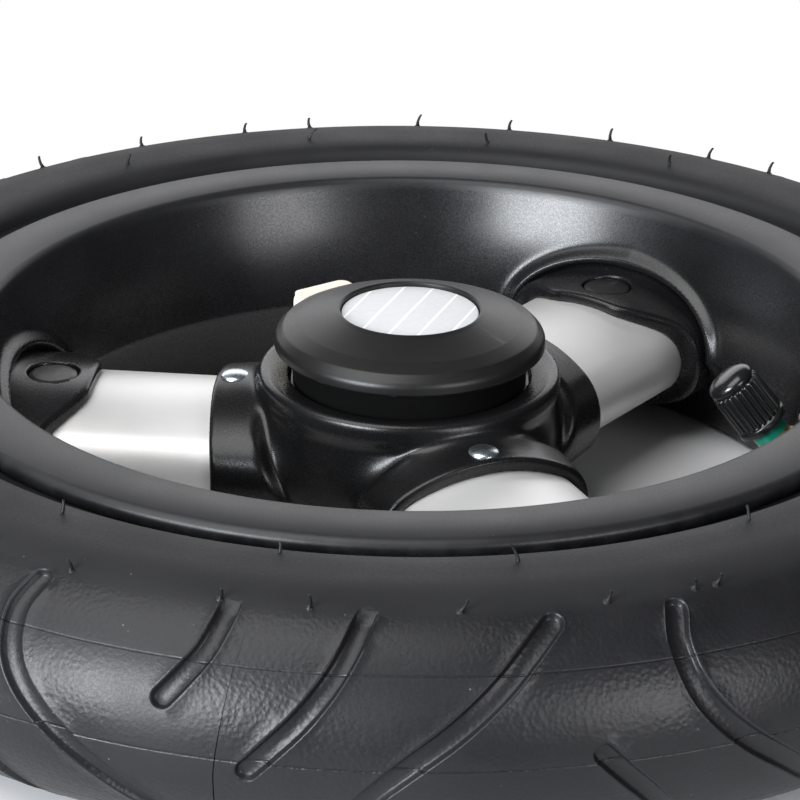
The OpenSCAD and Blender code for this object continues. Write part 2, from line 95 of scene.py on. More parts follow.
@dataclass
class NodeBench:
    """Adds and joins shader nodes in one material."""

    material: bpy.types.Material

    def __post_init__(self) -> None:
        """Clears the material down to its surface shader and output."""
        self.material.use_nodes = True
        self.tree = self.material.node_tree
        self.tree.nodes.clear()
        self.shader = self.add("ShaderNodeBsdfPrincipled")
        output = self.add("ShaderNodeOutputMaterial")
        self.join(self.shader.outputs["BSDF"], output.inputs["Surface"])
        self.place = self.add("ShaderNodeTexCoord").outputs["Object"]

    def add(self, kind: str, **values: object) -> bpy.types.ShaderNode:
        """Adds a node.

        Args:
            kind: Blender's type name for the node.
            values: Properties, or input sockets by name with _ for a space.

        Returns:
            The new node.
        """
        node = self.tree.nodes.new(kind)
        for key, value in values.items():
            socket = key.replace("_", " ")
            if hasattr(node, key):
                setattr(node, key, value)
            else:
                node.inputs[socket].default_value = value
        return node

    def join(self, out: bpy.types.NodeSocket, into: bpy.types.NodeSocket) -> None:
        """Links one socket to another."""
        self.tree.links.new(out, into)

    def noise(self, scale: float, detail: float = 3.0,
              stretch: Sequence[float] = (1, 1, 1)) -> bpy.types.NodeSocket:
        """Noise over the object.

        Args:
            scale: How many features there are in a metre.
            detail: Octaves of finer noise.
            stretch: Factors on X, Y and Z that squeeze the pattern along an axis.

        Returns:
            The noise value's socket.
        """
        mapping = self.add("ShaderNodeMapping")
        mapping.inputs["Scale"].default_value = stretch
        self.join(self.place, mapping.inputs["Vector"])
        node = self.add("ShaderNodeTexNoise", Scale=scale, Detail=detail)
        self.join(mapping.outputs["Vector"], node.inputs["Vector"])
        return node.outputs["Fac"]

    def spread(self, value: bpy.types.NodeSocket, low: float, high: float,
               start: float = 0.0, end: float = 1.0) -> bpy.types.NodeSocket:
        """Maps a value from start..end onto low..high, held at both ends.

        Args:
            value: The socket to map.
            low: Result at start.
            high: Result at end.
            start: Value that gives low.
            end: Value that gives high.

        Returns:
            The result's socket.
        """
        node = self.add("ShaderNodeMapRange")
        for name, number in (("From Min", start), ("From Max", end), ("To Min", low), ("To Max", high)):
            node.inputs[name].default_value = number
        self.join(value, node.inputs["Value"])
        return node.outputs["Result"]

    def sum(self, kind: str, a: bpy.types.NodeSocket, b: object) -> bpy.types.NodeSocket:
        """One step of arithmetic on a socket and a socket or number.

        Args:
            kind: Blender's name for the operation.
            a: The first socket.
            b: The second socket, or a number.

        Returns:
            The result's socket.
        """
        node = self.add("ShaderNodeMath", operation=kind)
        self.join(a, node.inputs[0])
        if isinstance(b, (int, float)):
            node.inputs[1].default_value = b
        else:
            self.join(b, node.inputs[1])
        return node.outputs[0]

    def blend(self, share: bpy.types.NodeSocket, first: object, second: object) -> bpy.types.NodeSocket:
        """Mixes two colours.

        Args:
            share: How much of the second colour shows.
            first: A colour, or a colour socket.
            second: A colour, or a colour socket.

        Returns:
            The mixed colour's socket.
        """
        node = self.add("ShaderNodeMix", data_type="RGBA")
        self.join(share, node.inputs[0])
        for slot, colour in ((6, first), (7, second)):
            if isinstance(colour, (tuple, list)):
                node.inputs[slot].default_value = (*colour[:3], 1)
            else:
                self.join(colour, node.inputs[slot])
        return node.outputs[2]

    def bump(self, height: bpy.types.NodeSocket, depth: float, strength: float = 1.0,
             under: bpy.types.NodeSocket | None = None) -> bpy.types.NodeSocket:
        """Turns a height into a normal.

        Args:
            height: Height socket, about 0 to 1.
            depth: Metres that a height of 1 stands for.
            strength: Share of the effect.
            under: Normal of an earlier bump to add to.

        Returns:
            The normal's socket.
        """
        node = self.add("ShaderNodeBump", Strength=strength, Distance=depth)
        self.join(height, node.inputs["Height"])
        if under is not None:
            self.join(under, node.inputs["Normal"])
        return node.outputs["Normal"]


@dataclass(frozen=True)
class Finish:
    """A finish with fine grain, cloudy gloss and rubbed edges."""

    name: str
    colour: tuple[float, float, float]
    roughness: float = 0.5
    metallic: float = 0.0
    grain: float = 1600.0
    grain_depth: float = 0.00002
    cloud: float = 0.06
    stretch: tuple[float, float, float] = (1, 1, 1)
    worn: tuple[float, float, float] = (0.12, 0.12, 0.12)
    wear: float = 0.25
    specular: float = 0.5
    dust: float = 0.0
    shade: float = 0.16

    def material(self) -> bpy.types.Material:
        """Makes the material, or finds the one made before.

        Returns:
            The material.
        """
        made = bpy.data.materials.get(self.name)
        if made is None:
            made = bpy.data.materials.new(self.name)
            bench = NodeBench(made)
            self.dress(bench)
        return made

    def dress(self, bench: NodeBench) -> None:
        """Sets the shader's colour, gloss and grain.

        Args:
            bench: The material's nodes.
        """
        shader = bench.shader
        shader.inputs["Metallic"].default_value = self.metallic
        shader.inputs["Specular IOR Level"].default_value = self.specular
        fine = bench.noise(self.grain, 4.0, self.stretch)
        broad = bench.noise(45.0, 3.0)
        edge = bench.spread(bench.add("ShaderNodeNewGeometry").outputs["Pointiness"], 0.0, 1.0, 0.53, 0.62)
        rubbed = bench.sum("MULTIPLY", edge, bench.spread(bench.noise(220.0), 0.0, self.wear, 0.45, 0.62))
        darker = tuple(c * (1 - self.shade) for c in self.colour)
        lighter = tuple(min(1.0, c * (1 + self.shade)) for c in self.colour)
        tone = bench.blend(bench.spread(broad, 0.0, 1.0, 0.35, 0.65), darker, lighter)
        if self.dust:
            specks = bench.add("ShaderNodeTexVoronoi", Scale=420.0)
            bench.join(bench.place, specks.inputs["Vector"])
            near = bench.spread(specks.outputs["Distance"], self.dust, 0.0, 0.02, 0.09)
            chosen = bench.spread(bench.noise(260.0), 0.0, 1.0, 0.58, 0.66)
            tone = bench.blend(bench.sum("MULTIPLY", near, chosen), tone, (0.35, 0.35, 0.35))
        bench.join(bench.blend(rubbed, tone, self.worn), shader.inputs["Base Color"])
        gloss = bench.sum("ADD", bench.spread(broad, -self.cloud, self.cloud, 0.3, 0.7),
                          bench.spread(fine, self.roughness - 0.05, self.roughness + 0.05, 0.3, 0.7))
        bench.join(gloss, shader.inputs["Roughness"])
        bench.join(bench.bump(fine, self.grain_depth), shader.inputs["Normal"])


@dataclass(frozen=True)
class TreadRubber(Finish):
    """Tyre rubber: pebbled between the shoulder and the middle line, smoother elsewhere, with mould lines."""

    centre_r: float = 0.125
    line_angles: tuple[float, ...] = (39.0, -39.0)
    seam_angle: float = 0.0
    pebble_depth: float = 0.00010
    mark_depth: float = 0.00018

    def dress(self, bench: NodeBench) -> None:
        """Adds pebble grain and the mould's lines to the plain rubber.

        Args:
            bench: The material's nodes.
        """
        super().dress(bench)
        shader = bench.shader
        split = bench.add("ShaderNodeSeparateXYZ")
        bench.join(bench.place, split.inputs[0])
        x, y, z = split.outputs
        squares = bench.sum("ADD", bench.sum("MULTIPLY", x, x), bench.sum("MULTIPLY", y, y))
        ring = bench.sum("POWER", squares, 0.5)
        angle = bench.sum("MULTIPLY", bench.sum("ARCTAN2", z, bench.sum("SUBTRACT", ring, self.centre_r)),
                          180 / math.pi)
        size = bench.sum("ABSOLUTE", angle, 0.0)
        pebbled = bench.sum("MULTIPLY", bench.spread(size, 1.0, 0.0, 62.0, 67.0),
                            bench.spread(bench.noise(38.0, 3.0), 0.25, 1.0, 0.36, 0.6))
        cells = bench.add("ShaderNodeTexVoronoi", feature="SMOOTH_F1", Scale=1050.0, Smoothness=0.6)
        bench.join(bench.place, cells.inputs["Vector"])
        pebbles = bench.sum("MULTIPLY", cells.outputs["Distance"], pebbled)
        wander = bench.sum("MULTIPLY", bench.spread(bench.noise(30.0), -1.0, 1.0), 0.5)
        lines: bpy.types.NodeSocket | None = None
        for at in self.line_angles:
            away = bench.sum("ABSOLUTE", bench.sum("SUBTRACT", bench.sum("ADD", angle, wander), at), 0.0)
            mark = bench.spread(away, 1.0, 0.0, 0.15, 0.6)
            lines = mark if lines is None else bench.sum("MAXIMUM", lines, mark)
        away = bench.sum("ABSOLUTE", bench.sum("SUBTRACT", angle, self.seam_angle), 0.0)
        rough = bench.spread(bench.noise(900.0, 2.0), 0.4, 1.0, 0.35, 0.6)
        seam = bench.sum("MULTIPLY", bench.spread(away, 1.0, 0.0, 0.2, 0.75), rough)
        marks = bench.sum("MAXIMUM", bench.sum("MULTIPLY", lines, 0.7), seam)
        tone = shader.inputs["Base Color"].links[0].from_socket
        bench.join(bench.blend(marks, tone, (0.004, 0.004, 0.004)), shader.inputs["Base Color"])
        under = shader.inputs["Normal"].links[0].from_socket
        first = bench.bump(pebbles, self.pebble_depth, 0.75, under)
        sunk = bench.sum("MULTIPLY", marks, -1.0)
        bench.join(bench.bump(sunk, self.mark_depth, 0.8, first), shader.inputs["Normal"])
        gloss = shader.inputs["Roughness"].links[0].from_socket
        side = bench.spread(size, 0.0, 0.2, 64.0, 72.0)
        bench.join(bench.sum("ADD", bench.sum("ADD", gloss, bench.spread(pebbled, 0.0, -0.05)), side),
                   shader.inputs["Roughness"])


@dataclass(frozen=True)
class RimPlastic(Finish):
    """Glossy moulded plastic that is duller on the flat faces of the flanges."""

    face_low: float = 0.0222
    face_high: float = 0.0244
    duller: float = 0.2

    def dress(self, bench: NodeBench) -> None:
        """Adds the duller flanges to the plain plastic.

        Args:
            bench: The material's nodes.
        """
        super().dress(bench)
        split = bench.add("ShaderNodeSeparateXYZ")
        bench.join(bench.place, split.inputs[0])
        height = bench.sum("ABSOLUTE", split.outputs[2], 0.0)
        rough = bench.shader.inputs["Roughness"]
        gloss = rough.links[0].from_socket
        dull = bench.spread(height, 0.0, self.duller, self.face_low, self.face_high)
        bench.join(bench.sum("ADD", gloss, dull), rough)


@dataclass(frozen=True)
class PrismSheet(Finish):
    """White reflective sheet with lighter diagonal joints between its rows of prisms."""

    row: float = 0.0061
    lean: float = 20.0

    def dress(self, bench: NodeBench) -> None:
        """Adds the joints and a fine cell pattern.

        Args:
            bench: The material's nodes.
        """
        super().dress(bench)
        shader = bench.shader
        turned = bench.add("ShaderNodeMapping")
        turned.inputs["Rotation"].default_value = (0, 0, math.radians(self.lean))
        bench.join(bench.place, turned.inputs["Vector"])
        split = bench.add("ShaderNodeSeparateXYZ")
        bench.join(turned.outputs["Vector"], split.inputs[0])
        wrapped = bench.sum("PINGPONG", bench.sum("ADD", split.outputs[0], 5 * self.row), self.row / 2)
        joint = bench.spread(wrapped, 1.0, 0.0, 0.00010, 0.00038)
        cells = bench.add("ShaderNodeTexVoronoi", Scale=900.0, distance="CHEBYCHEV")
        bench.join(turned.outputs["Vector"], cells.inputs["Vector"])
        tint = bench.blend(bench.spread(cells.outputs["Distance"], 0.0, 1.0, 0.1, 0.7),
                           tuple(c * 0.94 for c in self.colour), self.colour)
        bench.join(bench.blend(joint, tint, (1.0, 1.0, 1.0)), shader.inputs["Base Color"])


RUBBER = TreadRubber("tyre_rubber", (0.0105, 0.0105, 0.0118), roughness=0.41, grain=2600.0,
                     grain_depth=0.00003,
                     cloud=0.05, wear=0.1, specular=0.32, dust=0.5)
HAIR = Finish("vent_hair_rubber", (0.01, 0.01, 0.01), roughness=0.5, wear=0.0, specular=0.3)
RIM_PLASTIC = RimPlastic("rim_satin_black", (0.009, 0.009, 0.010), roughness=0.27, grain=2400.0,
                         grain_depth=0.000009,
                     cloud=0.03, wear=0.18, specular=0.5, dust=0.25)
HUB_PLASTIC = Finish("hub_satin_black", (0.007, 0.007, 0.0075), roughness=0.29, grain=2400.0,
                     grain_depth=0.000006,
                     cloud=0.03, wear=0.3, specular=0.45, dust=0.2)
CAP_PLASTIC = Finish("cap_satin_black", (0.008, 0.0078, 0.0078), roughness=0.38, grain=2600.0,
                     grain_depth=0.000010,
                     cloud=0.02, wear=0.25, specular=0.42)
# Painted shade: a darker, duller copy of the cap's black plastic, so that the neck under the cap's rim shows
# as the black shadow band beneath it.
NECK_PAINTED_SHADE = Finish("cap_neck_painted_shade", (0.003, 0.003, 0.003), roughness=0.85, cloud=0.02, wear=0.0,
                      specular=0.08)
PLUG_PLASTIC = Finish("plug_black", (0.014, 0.014, 0.014), roughness=0.34, grain=1800.0, cloud=0.03, wear=0.4)
HOUSING_PLASTIC = Finish("housing_black", (0.017, 0.017, 0.018), roughness=0.5, grain=1200.0)
SILVER = Finish("spoke_silver", (0.88, 0.87, 0.86), roughness=0.45, metallic=0.42, grain=2200.0,
                grain_depth=0.000004, cloud=0.01, shade=0.03, worn=(0.85, 0.85, 0.85), wear=0.2, specular=0.4)
ZINC = Finish("rivet_zinc", (0.66, 0.73, 0.78), roughness=0.3, metallic=1.0, grain=1500.0,
              grain_depth=0.000004,
              cloud=0.04, shade=0.08, worn=(0.9, 0.9, 0.9))
STEEL = Finish("bearing_steel", (0.56, 0.57, 0.59), roughness=0.24, metallic=1.0, grain=900.0,
               stretch=(1, 1, 8))
BALL_STEEL = Finish("ball_steel", (0.72, 0.73, 0.75), roughness=0.1, metallic=1.0, cloud=0.02)
CAGE_BRASS = Finish("cage_brass", (0.6, 0.43, 0.18), roughness=0.34, metallic=1.0)
SEAL_RUBBER = Finish("seal_rubber", (0.018, 0.018, 0.018), roughness=0.6)
SPRING_STEEL = Finish("spring_steel", (0.36, 0.37, 0.38), roughness=0.32, metallic=1.0, cloud=0.05)
SCREW_ZINC = Finish("screw_zinc", (0.55, 0.56, 0.57), roughness=0.3, metallic=1.0)
IVORY = Finish("release_ivory", (0.83, 0.76, 0.64), roughness=0.38, grain=900.0, cloud=0.03,
               worn=(0.9, 0.85, 0.75))
SHEET = PrismSheet("reflector_sheet", (0.70, 0.705, 0.715), roughness=0.5, grain=900.0, grain_depth=0.000002,
                   shade=0.02, wear=0.0, specular=0.3)
BRASS = Finish("valve_brass", (0.62, 0.43, 0.2), roughness=0.36, metallic=0.85, grain=1400.0, cloud=0.06,
               worn=(0.8, 0.65, 0.4))
GREEN = Finish("band_green", (0.0, 0.20, 0.125), roughness=0.35, grain=700.0, cloud=0.03,
               worn=(0.1, 0.5, 0.4))
GLOSS_BLACK = Finish("valve_cap_black", (0.008, 0.008, 0.0085), roughness=0.2, grain=1000.0,
                     grain_depth=0.00001,
                     cloud=0.03, wear=0.4, specular=0.6)
TUBE_RUBBER = Finish("tube_rubber", (0.025, 0.025, 0.027), roughness=0.55)
TAPE = Finish("rim_tape_cloth", (0.5, 0.46, 0.37), roughness=0.75, grain=900.0, grain_depth=0.00005)


# ---------------------------------------------------------------- mesh making


@dataclass
class Skin:
    """Points in millimetres and the faces between them."""

    points: list[Array] = field(default_factory=list)
    faces: list[tuple[int, ...]] = field(default_factory=list)
    normals: Array | None = None
    ring_r: float | None = None
    count: int = 0

    def add(self, points: Array, faces: Sequence[Sequence[int]]) -> None:
        """Adds points, and faces that count from the first of them.

        Args:
            points: Points, in any shape that ends in 3.
            faces: Faces, each a list of indices into those points.
        """
        self.points.append(np.asarray(points, float).reshape(-1, 3))
        self.faces.extend(tuple(i + self.count for i in face) for face in faces)
        self.count += len(self.points[-1])

    def add_grid(self, grid: Array, wrap: bool = True, close: bool = False) -> None:
        """Adds a sheet of quads.

        Args:
            grid: Points, rows by columns by 3.
            wrap: Whether the last column joins the first.
            close: Whether the last row joins the first.
        """
        rows, cols = grid.shape[:2]
        faces = []
        for i in range(rows if close else rows - 1):
            a, b = i * cols, (i + 1) % rows * cols
            for j in range(cols if wrap else cols - 1):
                k = (j + 1) % cols
                faces.append((a + j, a + k, b + k, b + j))
        self.add(grid.reshape(-1, 3), faces)

    def piece(self, name: str, finish: Finish, body: Body, slot: str, *nodes: str) -> bpy.types.Object:
        """Makes the Blender object.

        Args:
            name: Name of the piece.
            finish: What its surface is.
            body: The body it rides on.
            slot: The record's material slot; not used.
            nodes: CAD nodes that it stands for.

        Returns:
            The object, in place.
        """
        mesh = bpy.data.meshes.new(name)
        mesh.from_pydata((np.concatenate(self.points) * MM).tolist(), [], self.faces)
        made = bmesh.new()
        made.from_mesh(mesh)
        if self.normals is None:
            bmesh.ops.remove_doubles(made, verts=made.verts, dist=1e-6)
            bmesh.ops.recalc_face_normals(made, faces=made.faces)
        if self.ring_r is not None:
            self.face_away(made)
        for edge in made.edges:
            if self.normals is None and len(edge.link_faces) == 2 and edge.calc_face_angle(0.0) > SHARP:
                edge.smooth = False
        made.to_mesh(mesh)
        made.free()
        mesh.polygons.foreach_set("use_smooth", [True] * len(mesh.polygons))
        if self.normals is not None:
            mesh.normals_split_custom_set_from_vertices(self.normals.tolist())
        mesh.materials.append(finish.material())
        made_object = bpy.data.objects.new(name, mesh)
        bpy.context.scene.collection.objects.link(made_object)
        if nodes:
            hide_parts(*nodes)
        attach(made_object, body.value)
        LOG.info("%s: %d faces", name, len(mesh.polygons))
        return made_object

    def face_away(self, mesh: bmesh.types.BMesh) -> None:
        """Turns every face away from the circle of radius ring_r in the wheel's middle plane.

        Args:
            mesh: The piece's mesh, in metres.
        """
        mesh.normal_update()
        for face in mesh.faces:
            middle = face.calc_center_median()
            share = 1 - self.ring_r * MM / math.hypot(middle.x, middle.y)
            if face.normal.dot(Vector((middle.x * share, middle.y * share, middle.z))) < 0:
                face.normal_flip()


def turned(points: Array, degrees: float) -> Array:
    """Points turned about Z.

    Args:
        points: Points, in any shape that ends in 3.
        degrees: How far, from +X towards +Y.

    Returns:
        The turned points.
    """
    c, s = math.cos(math.radians(degrees)), math.sin(math.radians(degrees))
    out = np.array(points, float)
    out[..., 0] = points[..., 0] * c - points[..., 1] * s
    out[..., 1] = points[..., 0] * s + points[..., 1] * c
    return out


def eased(outline: Sequence[Sequence[float]], radii: Sequence[float] | float, steps: int = 5) -> Array:
    """Rounds the corners of a closed outline.

    Args:
        outline: Corner points.
        radii: Rounding of each corner, or one for all.
        steps: Points per rounded corner.

    Returns:
        The rounded outline's points.
    """
    corners = np.array(outline, float)
    n = len(corners)
    sizes = [radii] * n if isinstance(radii, (int, float)) else list(radii)
    out: list[Array] = []
    for i in range(n):
        here, before, after = corners[i], corners[i - 1], corners[(i + 1) % n]
        a, b = before - here, after - here
        la, lb = np.linalg.norm(a), np.linalg.norm(b)
        a, b = a / la, b / lb
        half = math.acos(float(np.clip(a @ b, -1, 1))) / 2
        reach = min(sizes[i] / max(math.tan(half), 1e-6), 0.49 * la, 0.49 * lb)
        if sizes[i] <= 0 or half > 1.55:
            out.append(here)
            continue
        start, end = here + a * reach, here + b * reach
        for t in np.linspace(0, 1, steps):
            out.append((1 - t) ** 2 * start + 2 * t * (1 - t) * here + t * t * end)
    return np.array(out)


def revolved(profile: Array, steps: int = 256) -> Array:
    """A closed (radius, height) outline swept round Z, as rows by steps by 3.

    Args:
        profile: (radius, height) points.
        steps: Points round the circle.

    Returns:
        Points, rows by steps by 3.
    """
    turn = np.linspace(0, 2 * math.pi, steps, endpoint=False)
    r, z = profile[:, 0][:, None], profile[:, 1][:, None]
    return np.stack([r * np.cos(turn), r * np.sin(turn), z + 0 * turn], -1)


def oval(side: float, top: float, turn: Array, half_w: float, half_h: float,
         end_r: float) -> tuple[Array, Array]:
    """Points of the spoke's oval section pushed out by its walls.

    Args:
        side: Wall added at the sides.
        top: Wall added over the flats.
        turn: Angles round the section, clockwise from the top, in radians.
        half_w: Half width of the bare oval.
        half_h: Half height of the bare oval.
        end_r: Radius of its rounded ends.

    Returns:
        Sideways and upward coordinates.
    """
    a, b, e = half_w + side, half_h + top, end_r + min(side, top)
    c = a - e
    big = (c * c + b * b - e * e) / (2 * (b - e))
    limit = math.atan2(c, big - b)
    fold = np.abs((turn + math.pi) % (2 * math.pi) - math.pi)
    fold = np.minimum(fold, math.pi - fold)
    mirror_x, mirror_y = np.sign(np.sin(turn)), np.sign(np.cos(turn))
    share = fold / (math.pi / 2)
    split = 0.62
    flat = share < split
    t = np.where(flat, limit * share / split, limit + (math.pi / 2 - limit) * (share - split) / (1 - split))
    x = np.where(flat, big * np.sin(t), c + e * np.sin(t))
    y = np.where(flat, b - big + big * np.cos(t), e * np.cos(t))
    return x * np.where(mirror_x == 0, 1, mirror_x), y * np.where(mirror_y == 0, 1, mirror_y)


def smooth_min(a: Array, b: Array, width: float) -> Array:
    """Joins two solids' distances with a fillet of about that width."""
    h = np.clip(0.5 + 0.5 * (b - a) / width, 0, 1)
    return b + (a - b) * h - width * h * (1 - h)


def smooth_max(a: Array, b: Array, width: float) -> Array:
    """Cuts one solid's distance by another with a rounded edge."""
    return -smooth_min(-a, -b, width)


def oval_distance(v: Array, w: Array, a: float, b: float, e: float) -> Array:
    """Distance from the outline of an oval of half sizes a and b with end radius e.

    Args:
        v: Sideways places.
        w: Upward places.
        a: Half width.
        b: Half height.
        e: Radius of the rounded ends.

    Returns:
        The distances, negative inside.
    """
    c = a - e
    big = (c * c + b * b - e * e) / (2 * (b - e))
    k = big - b
    length = math.hypot(c, k)
    x, y = np.abs(v), np.abs(w)
    past = (x - c) * (k / length) - y * (c / length) > 0
    return np.where(past, np.hypot(x - c, y) - e, np.hypot(x, y + k) - big)


@dataclass
class Casting:
    """A solid given by its distance, made into a skin of small quads."""

    distance: Field
    low: tuple[float, float, float]
    high: tuple[float, float, float]
    cell: float

    def skin(self) -> Skin:
        """Makes the skin, with each point pulled onto the surface and given the surface's own normal.

        Returns:
            The skin, with its normals.
        """
        axes = [np.arange(a, b + self.cell, self.cell, dtype=np.float32) for a, b in zip(self.low, self.high)]
        x, y, z = np.meshgrid(*axes, indexing="ij", sparse=True)
        values = self.distance(x, y, z)
        values = np.ascontiguousarray(np.broadcast_to(values, [len(a) for a in axes]), dtype=np.float32)
        grid = openvdb.FloatGrid(float(self.cell * 4))
        grid.copyFromArray(np.clip(values, -self.cell * 4, self.cell * 4))
        points, _, quads = grid.convertToPolygons(0.0)
        points = np.asarray(points, float) * self.cell + np.array(self.low)
        for _ in range(3):
            slope, here = self.slope(points)
            size = np.maximum((slope ** 2).sum(1), 0.25)
            step = np.clip(here / size, -0.5 * self.cell, 0.5 * self.cell)
            points = points - slope * step[:, None]
        slope, _ = self.slope(points)
        skin = Skin(normals=slope / np.maximum(np.linalg.norm(slope, axis=1), 1e-6)[:, None])
        faces = np.asarray(quads)
        a, b, c = (points[faces[:, i]] for i in (0, 1, 2))
        facing = (np.cross(b - a, c - a) * skin.normals[faces[:, 0]]).sum(1)
        if np.median(facing) < 0:
            faces = faces[:, ::-1]
        skin.add(points, faces.tolist())
        return skin

    def slope(self, points: Array) -> tuple[Array, Array]:
        """The distance's gradient, and the distance itself, at each point.

        Args:
            points: Points near the surface.

        Returns:
            The gradients and the distances.
        """
        h = 0.15
        x, y, z = points.T
        f = self.distance
        gradient = np.stack([f(x + h, y, z) - f(x - h, y, z), f(x, y + h, z) - f(x, y - h, z),
                             f(x, y, z + h) - f(x, y, z - h)], -1) / (2 * h)
        return gradient, f(x, y, z)


# ---------------------------------------------------------------- tyre


@dataclass
class Groove:
    """One tread groove along a smooth line of (azimuth, section angle) points, in degrees."""

    line: list[tuple[float, float]]
    half_w: float = 2.25
    depth: float = 1.35
    runs_out: bool = False
    steps: tuple[tuple[float, float], ...] = ((0.55, 0.0), (0.22, -0.12), (0.0, 0.02), (-0.12, 0.3),
                                              (-0.42, 1.08), (-0.7, 1.32))

    def mirrored(self, shift: float) -> "Groove":
        """The same groove on the other half of the tread, moved round by shift degrees."""
        return Groove([(az + shift, -up) for az, up in self.line], self.half_w, self.depth, self.runs_out)

    def centre(self, per_az: float, per_up: float) -> Array:
        """Points of the centre line in the unrolled tread, about 1.1 mm apart.

        Args:
            per_az: Millimetres of tread in a degree round the wheel.
            per_up: Millimetres of tread in a degree of the section.

        Returns:
            Points of the line, each (along, up) in the unrolled tread.
        """
        knots = np.array(self.line) * (per_az, per_up)
        ends = np.vstack([2 * knots[0] - knots[1], knots, 2 * knots[-1] - knots[-2]])
        dense = []
        for i in range(1, len(ends) - 2):
            p0, p1, p2, p3 = ends[i - 1:i + 3]
            for t in np.linspace(0, 1, 24, endpoint=False):
                dense.append(0.5 * (2 * p1 + (p2 - p0) * t + (2 * p0 - 5 * p1 + 4 * p2 - p3) * t * t
                                    + (3 * p1 - p0 - 3 * p2 + p3) * t ** 3))
        dense.append(ends[-2])
        path = np.array(dense)
        along = np.concatenate([[0], np.cumsum(np.linalg.norm(np.diff(path, axis=0), axis=1))])
        at = np.linspace(0, along[-1], max(6, int(along[-1] / 1.1)))
        return np.stack([np.interp(at, along, path[:, k]) for k in (0, 1)], -1)

    def loop(self, centre: Array, offset: float, caps: int = 9) -> Array:
        """The closed line at a distance from the centre line: left side, end, right side, start.

        Args:
            centre: Points of the centre line.
            offset: Distance from it.
            caps: Points round each end.

        Returns:
            Points of the closed line.
        """
        way = np.gradient(centre, axis=0)
        way /= np.linalg.norm(way, axis=1)[:, None]
        left = np.stack([-way[:, 1], way[:, 0]], -1)
        turn = np.linspace(0, math.pi, caps + 2)[1:-1]
        end = centre[-1] + offset * (np.cos(turn)[:, None] * left[-1] + np.sin(turn)[:, None] * way[-1])
        start = centre[0] - offset * (np.cos(turn)[:, None] * left[0] + np.sin(turn)[:, None] * way[0])
        return np.vstack([centre + offset * left, end, (centre - offset * left)[::-1], start])


